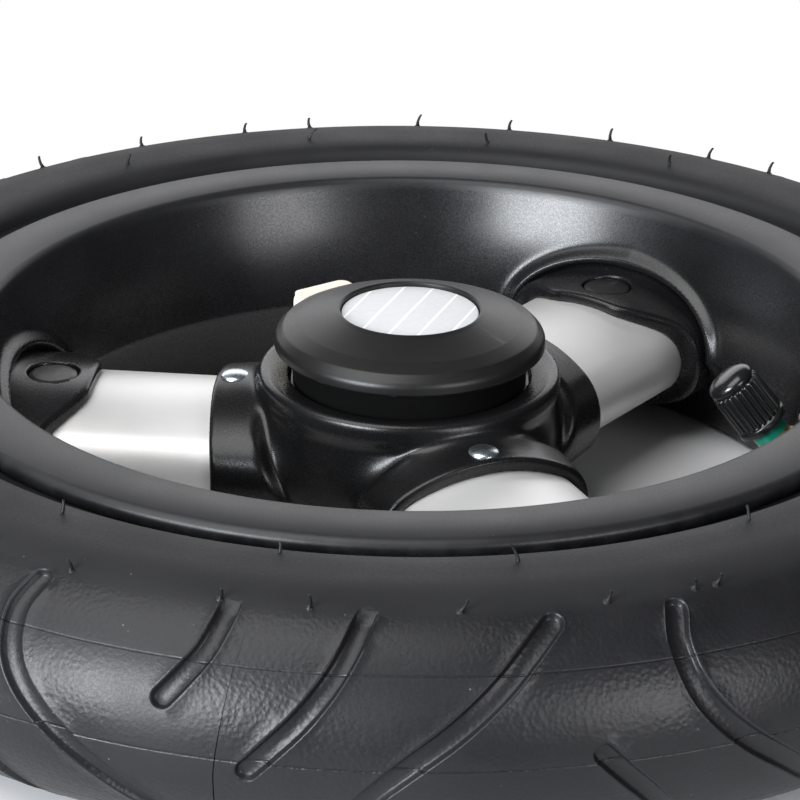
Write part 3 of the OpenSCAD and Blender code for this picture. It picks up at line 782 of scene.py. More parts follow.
@dataclass
class Tyre:
    """The tyre: a round casing, a tread whose pattern repeats with slightly varied pitch, and vent hairs."""

    gap_r: float = 112.9
    band: float = 68.0
    first_seam: float = 258.3
    pitch: float = 49.5
    pitches: int = 7
    columns: int = 52
    cell: float = 2.3
    seam_line: tuple[tuple[float, float], ...] = ((68, 0.0), (30, -0.9), (-6, -1.7), (-30, -1.9), (-60, -0.6),
                                                  (-68, 0.0))
    hair_l: float = 3.2
    hair_r: float = 0.42

    def __post_init__(self) -> None:
        """Reads the casing's size from the frame and lays out the grooves of one pitch."""
        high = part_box("tyre")[1]
        self.half = high.z / MM
        self.centre_r = high.x / MM - self.half
        self.per_az = (self.centre_r + self.half) * math.pi / 180
        self.per_up = self.half * math.pi / 180
        long = Groove([(280.9, 60), (278.8, 46.6), (276.5, 32.4), (273.5, 16.7), (269.9, 0), (267.3, -15),
                       (265.9, -29), (265.4, -46), (266.0, -60)])
        middle = Groove([(266.9, 67.2), (265.8, 49.3), (264.5, 34.6), (262.6, 19.3), (260.5, 6),
                         (258.9, -4.0)],
                        half_w=2.1, runs_out=True)
        short = Groove([(256.4, 67.2), (256.0, 55.3), (255.3, 43), (254.1, 32), (252.9, 22.6)], half_w=2.1,
                       runs_out=True)
        after = Groove([(az + self.pitch, up) for az, up in short.line], 2.1, short.depth, True)
        half = self.pitch / 2
        self.grooves = [long, middle, after, long.mirrored(half), middle.mirrored(half), short.mirrored(half)]

    def on_casing(self, flat: Array, depth: Array, tile: int) -> Array:
        """Wraps unrolled tread points onto the casing.

        Args:
            flat: Points in the unrolled tread.
            depth: How far each lies below the casing.
            tile: Which pitch round the tyre they belong to.

        Returns:
            Points in space.
        """
        wide = self.pitch if tile == 0 else (360 - self.pitch) / (self.pitches - 1)
        start = self.first_seam + (0 if tile == 0 else self.pitch + (tile - 1) * wide)
        az = np.radians(start + (flat[:, 0] / self.per_az - self.first_seam) * wide / self.pitch)
        up = flat[:, 1] / self.half
        r = self.centre_r + (self.half - depth) * np.cos(up)
        return np.stack([r * np.cos(az), r * np.sin(az), (self.half - depth) * np.sin(up)], -1)

    def tile(self) -> tuple[Array, Array, list[tuple[int, ...]]]:
        """Points, depths and faces of one pitch of the tread, unrolled.

        Returns:
            The points, their depths below the casing, and the faces.
        """
        ups = np.linspace(self.band, -self.band, 48)
        shift = np.interp(-ups, [-p[0] for p in self.seam_line], [p[1] for p in self.seam_line])
        left = np.stack([(self.first_seam + shift) * self.per_az, ups * self.per_up], -1)
        right = left + (self.pitch * self.per_az, 0)
        across = np.linspace(0, 1, self.columns + 1)[1:-1, None]
        top = left[0] * (1 - across) + right[0] * across
        bottom = left[-1] * (1 - across) + right[-1] * across
        edge = np.vstack([left, bottom, right[::-1], top[::-1]])
        flat, depth, faces = [edge], [np.zeros(len(edge))], []
        edges = [(i, (i + 1) % len(edge)) for i in range(len(edge))]
        count, centres = len(edge), []
        for groove in self.grooves:
            centre = groove.centre(self.per_az, self.per_up)
            centres.append((centre, groove.half_w + groove.steps[0][0]))
            loops = [groove.loop(centre, groove.half_w + out) for out, _ in groove.steps]
            size, n = len(loops[0]), len(centre)
            for (out, down), points in zip(groove.steps, loops):
                low = np.full(size, down * groove.depth / 1.35)
                if groove.runs_out:
                    rim = (self.band - 1.0) * self.per_up - np.abs(points[:, 1])
                    low = low * np.clip(rim / 1.2, 0, 1)
                flat.append(points)
                depth.append(low)
            edges += [(count + i, count + (i + 1) % size) for i in range(size)]
            for k in range(len(loops) - 1):
                a, b = count + k * size, count + (k + 1) * size
                faces += [(a + i, a + (i + 1) % size, b + (i + 1) % size, b + i) for i in range(size)]
            floor = count + (len(loops) - 1) * size
            caps = size - 2 * n
            right_side = [floor + n + caps // 2 + n - 1 - i for i in range(n)]
            faces += [(floor + i, floor + i + 1, right_side[i + 1], right_side[i]) for i in range(n - 1)]
            faces.append(tuple(range(floor + n - 1, floor + n + caps // 2 + 1)))
            faces.append((floor, *range(floor + size - 1, floor + size - caps // 2 - 2, -1)))
            count += len(loops) * size
        return self.with_land(np.vstack(flat), np.concatenate(depth), faces, edges, left, right, centres)

    def with_land(self, flat: Array, depth: Array, faces: list[tuple[int, ...]], edges: list[tuple[int, int]],
                  left: Array, right: Array, centres: list[tuple[Array, float]]) -> tuple[Array, Array, list]:
        """Fills the land between the grooves with even triangles.

        Args:
            flat: Points so far.
            depth: Their depths.
            faces: Faces so far.
            edges: Lines the triangles keep to.
            left: The tile's left border.
            right: The tile's right border.
            centres: Centre line and outer half width of each groove.

        Returns:
            Points, depths and faces of the whole tile.
        """
        rows = int(2 * self.band * self.per_up / (self.cell * 0.866))
        inner = []
        for i in range(1, rows):
            y = -self.band * self.per_up + 2 * self.band * self.per_up * i / rows
            x0 = np.interp(-y, -left[:, 1], left[:, 0]) + self.cell * 0.6
            x1 = np.interp(-y, -right[:, 1], right[:, 0]) - self.cell * 0.6
            xs = np.arange(x0 + (i % 2) * self.cell / 2, x1, self.cell)
            inner.append(np.stack([xs, np.full(len(xs), y)], -1))
        grid = np.vstack(inner)
        keep = np.ones(len(grid), bool)
        for centre, reach in centres:
            away = np.sqrt(((grid[:, None] - centre[None]) ** 2).sum(-1)).min(1)
            keep &= away > reach + 0.9
        grid = grid[keep]
        outline = sorted({i for edge in edges for i in edge})
        local = {index: i for i, index in enumerate(outline)}
        source = [Vector(p) for p in np.vstack([flat[outline], grid])]
        made = geometry.delaunay_2d_cdt(source, [(local[a], local[b]) for a, b in edges], [], 1, 1e-5)
        points, triangles = np.array([tuple(p) for p in made[0]]), made[2]
        middle = np.array([points[list(t)].mean(0) for t in triangles])
        solid = np.ones(len(middle), bool)
        for centre, reach in centres:
            away = np.sqrt(((middle[:, None] - centre[None]) ** 2).sum(-1)).min(1)
            solid &= away > reach - 0.25
        base = len(flat)
        heights = np.zeros(len(points))
        flat, depth = np.vstack([flat, points]), np.concatenate([depth, heights])
        faces = faces + [tuple(base + i for i in t) for t, ok in zip(triangles, solid) if ok]
        return flat, depth, faces

    def sidewall(self, side: int) -> Array:
        """Sidewall and bead on one face, rows from the tread band inwards, as rows by columns by 3.

        Args:
            side: 1 on the cap's face of the wheel, -1 on the other.

        Returns:
            Points, rows by columns by 3.
        """
        up = np.radians(np.linspace(self.band, 90, 9))
        rows = [(self.centre_r + self.half * math.cos(a), self.half * math.sin(a)) for a in up]
        face = self.half - 1
        foot = [(self.centre_r - 3, self.half), (self.gap_r + 6.2, self.half - 0.02),
                (self.gap_r + 3.4, self.half - 0.35),
                (self.gap_r + 1.4, face), (self.gap_r + 0.25, face - 1.1), (self.gap_r, face - 2.4),
                (self.gap_r - 1.0, face - 3.6), (self.gap_r - 3.4, face - 4.0),
                (self.gap_r - 11.2, face - 4.1)]
        rows += foot
        columns = []
        wide = (360 - self.pitch) / (self.pitches - 1)
        for tile in range(self.pitches):
            start = self.first_seam + (0 if tile == 0 else self.pitch + (tile - 1) * wide)
            size = self.pitch if tile == 0 else wide
            columns.append(np.radians(start + np.arange(self.columns) / self.columns * size))
        az = np.concatenate(columns)
        return np.array([np.stack([r * np.cos(az), r * np.sin(az), np.full(len(az), side * z)], -1)
                         for r, z in rows])

    def build(self) -> None:
        """Makes the tyre and its vent hairs."""
        skin = Skin(ring_r=self.centre_r)
        flat, depth, faces = self.tile()
        for tile in range(self.pitches):
            skin.add(self.on_casing(flat, depth, tile), faces)
        upper, lower = self.sidewall(1), self.sidewall(-1)
        skin.add_grid(upper)
        skin.add_grid(lower)
        skin.add_grid(np.array([upper[-1], lower[-1]]))
        skin.piece("tyre_casing", RUBBER, Body.WHEEL, "tyre", "tyre")
        self.hairs().piece("tyre_vent_hairs", HAIR, Body.WHEEL, "tyre")

    def hairs(self) -> Skin:
        """The moulding's vent hairs: rows on both shoulders and a sparse row beside the rim.

        Returns:
            All the hairs in one skin.
        """
        rng = np.random.default_rng(7)
        skin = Skin()
        for tile in range(-1, self.pitches - 1):
            for step in (34.2, 46.4, 54.0, 65.4, 76.8, 84.0):
                if step > 80 and tile % 2:
                    continue
                az = self.first_seam - self.pitch + step + tile * 360 / self.pitches
                for side in (1, -1):
                    self.hair(skin, rng, az + rng.normal(0, 0.4), self.band, side, self.hair_l)
        for az in np.arange(13.9, 360, 22.2):
            self.hair(skin, rng, az + rng.normal(0, 0.8), 104.0 + rng.normal(0, 3), 1, self.hair_l * 1.25)
        return skin

    def hair(self, skin: Skin, rng: np.random.Generator, az: float, up: float, side: int,
             length: float) -> None:
        """Adds one tapered hair.

        Args:
            skin: What it is added to.
            rng: Source of its lean.
            az: Direction round the tyre, in degrees.
            up: Section angle of its foot, in degrees.
            side: 1 on the cap's face of the wheel, -1 on the other.
            length: How long it is.
        """
        a, b = math.radians(az), math.radians(up)
        out = np.array([math.cos(a), math.sin(a), 0])
        round_ = np.array([-math.sin(a), math.cos(a), 0])
        lift = np.array([0, 0, 1.0])
        foot = out * (self.centre_r + self.half * math.cos(b)) + lift * side * self.half * math.sin(b)
        if side > 0:
            way = out * math.cos(b) * 0.8 + lift * math.sin(b) + round_ * rng.normal(0, 0.22)
            length *= float(rng.uniform(0.75, 1.1))
        else:
            way, length = out * 0.98 - lift * 0.12, min(length, 2.0)
        way /= np.linalg.norm(way)
        cross = np.cross(way, round_)
        cross /= np.linalg.norm(cross)
        rows = []
        for t, r in ((-0.15, 2.2), (0.03, 1.9), (0.08, 1.15), (0.4, 0.85), (0.75, 0.75), (0.96, 0.7),
                     (1.0, 0.1)):
            spin = np.linspace(0, 2 * math.pi, 7, endpoint=False)[:, None]
            bow = round_ * 0.35 * math.sin(3 * t) * float(np.sign(rng.normal()) if t < 0 else 1)
            rows.append(foot + way * length * t + bow
                        + self.hair_r * r * (np.cos(spin) * round_ + np.sin(spin) * cross))
        skin.add_grid(np.array(rows))


# ---------------------------------------------------------------- rim


@dataclass
class Rim:
    """The moulded rim: flanges, a bowl with a raised arch round each socket, and the sockets."""

    spoke_az: tuple[float, ...] = (54.0, 174.0, 294.0)
    flange_w: float = 15.0
    waist_r: float = 86.0
    waist_z: float = -4.0
    arch_w: float = 29.5
    arch_foot: float = -4.0
    arch_top: float = 12.2
    ridge: float = 1.9
    ridge_w: float = 2.0
    lip: float = 69.7
    rake: float = 8.3
    spoke_z: float = -5.0
    half_w: float = 22.0
    half_h: float = 12.0
    end_r: float = 9.0
    wall_side: float = 5.0
    wall_top: float = 2.5
    pin_u: float = 79.2
    pin_r: float = 5.4

    def __post_init__(self) -> None:
        """Reads the rim's outer size from the frame."""
        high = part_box("rim")[1]
        self.outer_r, self.face = high.x / MM, high.z / MM
        self.outer_r = round(self.outer_r, 1)

    def profile(self) -> Array:
        """The rim's closed section, (radius, height), starting on the bowl.

        Returns:
            (radius, height) points.
        """
        r_in, f = self.outer_r - self.flange_w, self.face
        drop = f - 1.4 - self.waist_z
        bowl = [(r_in + (self.waist_r - r_in) * s - 0.9 * math.sin(math.pi * s), f - 1.4 - drop * s)
                for s in np.linspace(0.0, 1.0, 48)]
        rise = self.waist_z + f - 1.4
        back = [(self.waist_r + (r_in - self.waist_r) * s + 1.0 * math.sin(math.pi * s),
                 self.waist_z - rise * s)
                for s in np.linspace(0.0, 1.0, 30)[1:]]
        seat = self.outer_r - 6.5
        lower = [(r_in + 0.45, -f + 0.42), (r_in + 1.5, -f), (self.outer_r - 2.0, -f),
                 (self.outer_r - 0.6, -f + 0.6),
                 (self.outer_r, -f + 2.0), (self.outer_r - 0.7, -f + 3.9), (self.outer_r - 2, -f + 4.2)]
        well = [(seat, -f + 4.3), (seat, -13), (seat - 7.5, -9), (seat - 7.5, 9), (seat, 13), (seat, f - 4.3)]
        upper = [(r, -z) for r, z in lower[::-1]]
        return np.array(bowl + back + lower + well + upper)

    def shell(self) -> Array:
        """The rim's surface with the arches raised on its bowl.

        Returns:
            Points, rows by steps by 3.
        """
        profile = self.profile()
        grid = revolved(profile, 960)
        az = np.degrees(np.arctan2(grid[..., 1], grid[..., 0]))
        inner = np.zeros(len(profile), bool)
        inner[:48 + 29] = True
        push = np.zeros(az.shape)
        z = grid[..., 2]
        for spoke in self.spoke_az:
            v = np.radians((az - spoke + 180) % 360 - 180) * 88.0
            tall = np.where(z > self.arch_foot, self.arch_top - self.arch_foot, 22.0)
            q = np.sqrt((v / self.arch_w) ** 2 + ((z - self.arch_foot) / tall) ** 2)
            away = (q - 1) * (self.arch_top - self.arch_foot) * (1 + 0.8 * np.abs(v) / self.arch_w)
            bead = self.ridge * np.exp(-(away / self.ridge_w) ** 2)
            sunk = -0.9 * (1 - np.tanh((away + 2.2) / 1.1))
            push += np.where(np.abs(v) < 45, bead + sunk, 0) / (1 + np.exp(-(z + 7) / 2.2))
        push[~inner] = 0
        fade = np.clip((self.face - 2.0 - z) / 5, 0, 1)
        r = np.hypot(grid[..., 0], grid[..., 1])
        scale = (r - push * fade) / r
        grid[..., 0] *= scale
        grid[..., 1] *= scale
        return grid

    def socket(self) -> Skin:
        """One socket in its spoke's own frame: a tongue over the spoke, raked back at its sides.

        Returns:
            The socket, with its spoke along +X.
        """
        end = self.waist_r + 4.5

        def distance(u: Array, v: Array, z: Array) -> Array:
            """Distance from the socket's surface, in its spoke's frame.

            Args:
                u: Places along the spoke, from the wheel's axis.
                v: Sideways places.
                z: Heights.

            Returns:
                The distances, negative inside.
            """
            w = z - self.spoke_z
            outer = oval_distance(v, w, self.half_w + self.wall_side, self.half_h + self.wall_top,
                                  self.end_r + self.wall_top)
            inner = oval_distance(v, w, self.half_w + 0.05, self.half_h + 0.05, self.end_r + 0.05)
            share = np.clip((np.abs(v) - 6.5) / 18.0, 0, 1)
            share = share * share * (3 - 2 * share)
            below = np.clip((self.half_h - 2.5 - w) / 9.0, 0, 1)
            front = self.lip + self.rake * np.maximum(share, below * below * (3 - 2 * below))
            flare = np.clip((u - 84.0) / 6.0, 0, 1) ** 2 * 1.6
            block = smooth_max(outer - flare, front - u, 1.5)
            block = np.maximum(block, u - end)
            block = smooth_max(block, -inner, 0.7)
            plug = np.maximum(np.hypot(u - self.pin_u, v) - self.pin_r - 0.35,
                              self.spoke_z + self.half_h + self.wall_top - 1.9 - z)
            return smooth_max(block, -plug, 0.5)

        low = (self.lip - 2, -self.half_w - self.wall_side - 3,
               self.spoke_z - self.half_h - self.wall_top - 3)
        high = (end + 1, self.half_w + self.wall_side + 3, self.spoke_z + self.half_h + self.wall_top + 3)
        return Casting(distance, low, high, 0.6).skin()

    def build(self) -> None:
        """Makes the rim, its sockets and the plugs in them."""
        skin = Skin()
        skin.add_grid(self.shell(), close=True)
        skin.piece("rim_shell", RIM_PLASTIC, Body.WHEEL, "rim", "rim")
        one = self.socket()
        for number, az in enumerate(self.spoke_az, 1):
            socket = Skin(points=[turned(one.points[0], az)], faces=one.faces,
                          normals=turned(one.normals, az))
            socket.piece(f"rim_socket_{number}", RIM_PLASTIC, Body.WHEEL, "rim")
        self.plugs().piece("socket_plugs", PLUG_PLASTIC, Body.WHEEL, "plugs", "rim_pins")

    def plugs(self) -> Skin:
        """Plugs in the sockets: dished heads above, flush shanks below.

        Returns:
            The plugs of all three sockets.
        """
        top = self.spoke_z + self.half_h + self.wall_top - 0.35
        low = self.spoke_z - self.half_h - self.wall_top
        r = self.pin_r
        head = eased([(0.02, top), (r * 0.5, top - 0.04), (r - 0.9, top - 0.14), (r, top - 0.4),
                      (r, top - 1.6),
                      (0.02, top - 1.6)], [0, 0.6, 0.6, 0.3, 0.1, 0])
        shank = eased([(0.02, low + 0.3), (2.4, low + 0.3), (2.9, low + 0.7), (2.9, top - 1.5),
                       (0.02, top - 1.5)],
                      [0, 0.2, 0.2, 0, 0])
        skin = Skin()
        for az in self.spoke_az:
            for part in (head, shank):
                skin.add_grid(turned(revolved(part, 64) + (self.pin_u, 0, 0), az), close=True)
        return skin


# ---------------------------------------------------------------- spokes


@dataclass
class Spokes:
    """The oval tube spokes and the rivets that hold them in the hub."""

    rim: Rim
    start: float = 22.0
    end: float = 85.8
    wall: float = 1.8
    rivet_u: float = 38.4
    rivet_r: float = 3.3
    seat_top: float = 10.3
    seat_low: float = -20.3
    shank_r: float = 1.95

    def tube(self, az: float) -> Skin:
        """One spoke, open at both ends.

        Args:
            az: Direction of the spoke, in degrees.

        Returns:
            The tube.
        """
        turn = np.linspace(0, 2 * math.pi, 160, endpoint=False)
        rim, rows = self.rim, []
        for inset, u in ((self.wall, self.start), (0.25, self.start), (0, self.start + 0.25), (0, 42.0),
                         (0, 56.0),
                         (0, 70.0), (0, self.end - 0.25), (0.25, self.end), (self.wall, self.end),
                         (self.wall, 56.0)):
            v, w = oval(-inset, -inset, turn, rim.half_w, rim.half_h, rim.end_r)
            rows.append(np.stack([np.full(len(turn), u), v, w + rim.spoke_z], -1))
        skin = Skin()
        skin.add_grid(turned(np.array(rows), az), close=True)
        return skin

    def rivets(self) -> Skin:
        """Domed heads above and below each cuff, on their shanks.

        Returns:
            All three spokes' rivets.
        """
        r, skin = self.rivet_r, Skin()
        dome = [(r * math.cos(a), 0.35 + 1.15 * math.sin(a)) for a in np.linspace(0, math.pi / 2 - 0.01, 12)]
        head = np.array([(0.02, -0.3), (r - 0.1, -0.3), (r + 0.02, -0.15), (r + 0.02, 0.25), *dome])
        shank = np.array([(0.02, self.seat_low), (self.shank_r, self.seat_low), (self.shank_r, self.seat_top),
                          (0.02, self.seat_top)])
        for az in self.rim.spoke_az:
            for part, side, at in ((head, 1, self.seat_top - 0.05), (head, -1, self.seat_low + 0.05),
                                   (shank, 1, 0.0)):
                swept = revolved(part * (1, side) + (0, at), 48)
                skin.add_grid(turned(swept + (self.rivet_u, 0, 0), az), close=True)
        return skin

    def build(self) -> None:
        """Makes the spokes and rivets."""
        for number, az in enumerate(self.rim.spoke_az, 1):
            self.tube(az).piece(f"spoke_tube_{number}", SILVER, Body.WHEEL, "spokes", f"spoke_{number}")
        self.rivets().piece("spoke_rivets", ZINC, Body.WHEEL, "rivets", "hub_rivets")


# ---------------------------------------------------------------- hub


@dataclass
class Hub:
    """The hub moulding: a drum with a collar, and cuffs that flow out of it round the spokes."""

    rim: Rim
    drum_r: float = 32.0
    collar_z: float = 15.0
    lip_r: float = 31.8
    floor_z: float = 12.5
    low_z: float = -26.0
    cuff_side: float = 2.7
    cuff_top: float = 3.4
    reach: float = 40.5
    arch: float = 3.0
    ridge_u: float = 30.5
    sweep: float = 9.5
    ridge: float = 1.0
    fillet: float = 6.0
    bearing_r: float = 14.0
    shoulder_r: float = 11.5
    bearing_low: float = -16.0
    bearing_high: float = 4.0
    body_end: float = 43.6
    spoke_foot: float = 21.8
    recess_r: float = 26.3
    coring_at: float = 23.4
    coring_r: float = 5.6
    coring_top: float = -9.0
    fit: float = 0.05
    cell: float = 0.6

    def distance(self, x: Array, y: Array, z: Array) -> Array:
        """Distance from the hub's surface.

        Args:
            x: Places along X.
            y: Places along Y.
            z: Heights.

        Returns:
            The distances, negative inside.
        """
        rim, r = self.rim, np.hypot(x, y)
        flare = np.clip((z - 8.0) / 4.0, 0, 1)
        side_wall = r - self.drum_r - flare * flare * (3 - 2 * flare)
        rim_top = (z - self.collar_z - 0.4 + 0.28 * (self.lip_r - r)) * 0.96
        drum = smooth_max(smooth_max(side_wall, rim_top, 2.6), self.low_z - z, 1.6)
        body, bands, holes = drum, None, None
        for az in rim.spoke_az:
            c, s = math.cos(math.radians(az)), math.sin(math.radians(az))
            u, v, w = x * c + y * s, y * c - x * s, z - rim.spoke_z
            mouth = self.reach + self.arch * (w / (rim.half_h + self.cuff_top + 1)) ** 2
            side, top = rim.half_w + self.cuff_side, rim.half_h + self.cuff_top
            end = rim.end_r + self.cuff_side
            core = smooth_max(oval_distance(v, w, side - 2.0, top - 1.0, end - 1.0), u - 38.0, 1.2)
            core = np.maximum(core, 8.0 - u)
            body = smooth_min(body, core, self.fillet)
            swell = self.ridge * np.clip((mouth - u) / 12.0, 0, 1)
            sleeve = oval_distance(v, w, side, top, end) - swell
            fall = np.clip((14.0 - w) / 26.0, 0, 1)
            start = self.ridge_u - self.sweep * fall * fall * (3 - 2 * fall)
            sleeve = smooth_max(smooth_max(sleeve, u - mouth, 1.5), (start - u) * 0.9, 2.4)
            bands = sleeve if bands is None else np.minimum(bands, sleeve)
            pocket = oval_distance(v, w, rim.half_w + self.fit, rim.half_h + self.fit, rim.end_r + self.fit)
            pocket = np.maximum(pocket, self.spoke_foot - u)
            back = math.radians(az + 60)
            away = np.hypot(x - self.coring_at * math.cos(back), y - self.coring_at * math.sin(back))
            coring = np.maximum(away - self.coring_r, z - self.coring_top)
            cut = np.minimum(pocket, coring)
            holes = cut if holes is None else np.minimum(holes, cut)
        body = np.maximum(body, r - self.body_end)
        solid = smooth_min(body, bands, 1.8)
        solid = smooth_max(solid, -holes, 0.7)
        solid = np.maximum(solid, self.low_z - z)
        solid = smooth_max(solid, -np.maximum(r - self.recess_r, self.floor_z - z), 0.6)
        bore = np.minimum(r - self.shoulder_r, np.maximum(r - self.bearing_r, z - self.bearing_low))
        bore = np.minimum(bore, np.maximum(r - self.bearing_r, self.bearing_high - z))
        return smooth_max(solid, -bore, 0.5)

    def build(self) -> None:
        """Makes the hub moulding."""
        reach = 50.0
        low, high = (-reach, -reach, self.low_z - 2), (reach, reach, self.collar_z + 2)
        Casting(self.distance, low, high, self.cell).skin().piece("hub_moulding", HUB_PLASTIC, Body.WHEEL,
                                                                  "hub", "hub_shell")


@dataclass
class Bearings:
    """Races with eased edges, seals with a pressed groove; the balls and cages stay as they are."""

    bore: float = 6.0
    outer: float = 14.0
    inner_out: float = 8.3
    outer_in: float = 11.7
    width: float = 8.0
    centres: tuple[float, float] = (-20.0, 8.0)
    ball_ring: float = 10.0
    deep: float = 1.7
    ease: float = 0.28

    def rings(self, outline: Sequence[Sequence[float]], ease: float) -> Skin:
        """The outline, (radius, height from the bearing's middle), swept in both bearings.

        Args:
            outline: (radius, height) points.
            ease: Rounding of its corners.

        Returns:
            The two rings.
        """
        skin = Skin()
        for z in self.centres:
            skin.add_grid(revolved(eased(outline, ease, 4) + (0, z), 128), close=True)
        return skin

    def build(self) -> None:
        """Makes the races and the seals."""
        half = self.width / 2
        groove = [(-1.9, 0.9), (-1.2, 2.0), (0, 2.42), (1.2, 2.0), (1.9, 0.9)]
        inner = [(self.bore, -half), (self.inner_out, -half), (self.inner_out, -2.1),
                 *[(self.ball_ring - g, z) for z, g in groove if g > self.deep], (self.inner_out, 2.1),
                 (self.inner_out, half),
                 (self.bore, half)]
        outer = [(self.outer, half), (self.outer_in, half), (self.outer_in, 2.1),
                 *[(self.ball_ring + g, -z) for z, g in groove if g > self.deep], (self.outer_in, -2.1),
                 (self.outer_in, -half),
                 (self.outer, -half)]
        for outline, side, body in ((inner, "inner", Body.CORE), (outer, "outer", Body.WHEEL)):
            rings = self.rings(outline, self.ease)
            rings.piece(f"bearing_races_{side}", STEEL, body, "bearing_steel", f"bearing_{side}_races")
        seals = Skin()
        for z in self.centres:
            for side in (1, -1):
                face = np.array([(self.inner_out + 0.15, 3.5), (8.9, 3.72), (9.4, 3.46), (10.5, 3.46),
                                 (11.0, 3.74),
                                 (self.outer_in, 3.6), (self.outer_in, 3.2), (self.inner_out + 0.15, 3.2)])
                ring = eased(face, 0.08, 3)
                seals.add_grid(revolved(ring * (1, side) + (0, z), 128), close=True)
        seals.piece("bearing_seal_rings", SEAL_RUBBER, Body.WHEEL, "seals", "bearing_seals")


@dataclass
class Cap:
    """The domed cap with its flat side, the reflective disc in it, and the release button."""

    radius: float = 29.5
    low: float = 20.1
    side_h: float = 4.8
    height: float = 8.8
    lens_r: float = 14.9
    flat: float = 26.8
    az: float = 125.5
    neck_r: float = 25.5
    floor_z: float = 12.6
    shoulder: float = 2.3
    button_out: float = 4.6
    button_w: float = 14.0
    button_shift: float = 3.0

    def cap(self) -> Skin:
        """The cap turned on a lathe, before its flat side is cut.

        Returns:
            The cap.
        """
        r, low, lens = self.radius, self.low, self.lens_r
        top, lip = low + self.side_h, low + self.height
        crown = [(r - 1.9, top - 0.15), (24.2, top + 1.2), (20.0, top + 2.45), (lens + 1.7, lip - 0.42)]
        outline = [(0.05, lip - 2.15), (lens + 0.2, lip - 2.15), (lens + 0.25, lip - 0.35), (lens + 0.7, lip),
                   *crown[::-1], (r - 0.05, top - self.shoulder + 0.2), (r, low + 0.7), (r - 0.7, low),
                   (21.2, low), (21.2, 23.2), (0.05, 23.2)]
        ease = [0, 0, 0.2, 0.35, 2.0, 4.0, 4.0, 1.4, self.shoulder, 0.5, 0.3, 0, 0.1, 0]
        skin = Skin()
        skin.add_grid(revolved(eased(outline, ease, 8), 384), close=True)
        return skin

    def cut_flat(self, cap: bpy.types.Object) -> None:
        """Cuts the flat side, closes it with a sharp rim, and cuts the button's pocket.

        Args:
            cap: The cap's object.
        """
        a = math.radians(self.az)
        out = Vector((math.cos(a), math.sin(a), 0))
        mesh = bmesh.new()
        mesh.from_mesh(cap.data)
        everything = mesh.verts[:] + mesh.edges[:] + mesh.faces[:]
        cut = bmesh.ops.bisect_plane(mesh, geom=everything, plane_co=out * self.flat * MM, plane_no=out,
                                     clear_outer=True)
        rim = [e for e in cut["geom_cut"] if isinstance(e, bmesh.types.BMEdge)]
        bmesh.ops.edgenet_fill(mesh, edges=rim)
        for edge in rim:
            edge.smooth = False
        mesh.to_mesh(cap.data)
        mesh.free()
        self.cut_pocket(cap)

    def cut_pocket(self, cap: bpy.types.Object) -> None:
        """Cuts the pocket that the button slides into.

        Args:
            cap: The object to cut.
        """
        x0, x1 = 19.6, self.radius + 2
        y0, y1 = self.button_shift - self.button_w / 2 - 0.35, self.button_shift + self.button_w / 2 + 0.35
        z0, z1 = 14.0, self.low + 4.55
        corners = np.array([(x, y, z) for x in (x0, x1) for y in (y0, y1) for z in (z0, z1)])
        tool = bmesh.new()
        points = [tool.verts.new(p) for p in turned(corners, self.az) * MM]
        bmesh.ops.convex_hull(tool, input=points)
        mesh = bpy.data.meshes.new("pocket")
        tool.to_mesh(mesh)
        tool.free()
        cutter = bpy.data.objects.new("pocket", mesh)
        bpy.context.scene.collection.objects.link(cutter)
        cut = cap.modifiers.new("pocket", "BOOLEAN")
        cut.operation, cut.solver, cut.object = "DIFFERENCE", "EXACT", cutter
        whole = cap.evaluated_get(bpy.context.evaluated_depsgraph_get())
        shaped = bpy.data.meshes.new_from_object(whole)
        cap.modifiers.clear()
        cap.data = shaped
        bpy.data.objects.remove(cutter)

    def button(self) -> Skin:
        """The release button, with rounded corners and a shallow recess in its face.

        Returns:
            The button, in place.
        """
        low, high = 15.7, self.low + 4.2
        x0, x1 = 24.1, self.flat + self.button_out
        turn = np.linspace(0, 2 * math.pi, 72, endpoint=False)
        power = 0.32
        y = np.sign(np.cos(turn)) * np.abs(np.cos(turn)) ** power * self.button_w / 2 + self.button_shift
        z = np.sign(np.sin(turn)) * np.abs(np.sin(turn)) ** power * (high - low) / 2 + (low + high) / 2
        rows = []
        for x, shrink in ((x0, 0.3), (x0, 0.98), (x0 + 0.3, 1.0), (x1 - 1.4, 1.0), (x1 - 0.5, 0.975),
                          (x1 - 0.12, 0.92),
                          (x1, 0.84), (x1, 0.7), (x1 - 0.3, 0.66), (x1 - 0.3, 0.3), (x1 - 0.3, 0.02)):
            rows.append(np.stack([np.full(len(turn), x), (y - self.button_shift) * shrink + self.button_shift,
                                  (z - (low + high) / 2) * shrink + (low + high) / 2], -1))
        skin = Skin()
        skin.add_grid(turned(np.array(rows), self.az))
        return skin

    def build(self) -> None:
        """Makes the cap, the disc and the button."""
        cap = self.cap().piece("cap_dome", CAP_PLASTIC, Body.WHEEL, "cap", "hub_cap")
        self.cut_flat(cap)
        # The neck's finish is painted shade: darker and duller than the cap, standing in for the shadow under
        # the cap's rim.
        neck = Skin()
        ring = eased([(self.neck_r, self.low + 0.2), (self.neck_r, self.floor_z), (21.25, self.floor_z),
                      (21.25, self.low + 0.2)], [0, 0.4, 0.2, 0])
        neck.add_grid(revolved(ring, 192), close=True)
        self.cut_pocket(neck.piece("cap_neck", NECK_PAINTED_SHADE, Body.WHEEL, "cap"))
        disc = Skin()
        top = self.low + self.height - 0.95
        outline = eased([(0.02, top - 1.0), (self.lens_r, top - 1.0), (self.lens_r, top - 0.05), (0.02, top)],
                        [0, 0.1, 0.25, 0], 6)
        disc.add_grid(revolved(outline, 160), close=True)
        disc.piece("reflector_disc", SHEET, Body.WHEEL, "reflector", "reflector")
        self.button().piece("release_button_face", IVORY, Body.RELEASE, "release")


# ---------------------------------------------------------------- valve


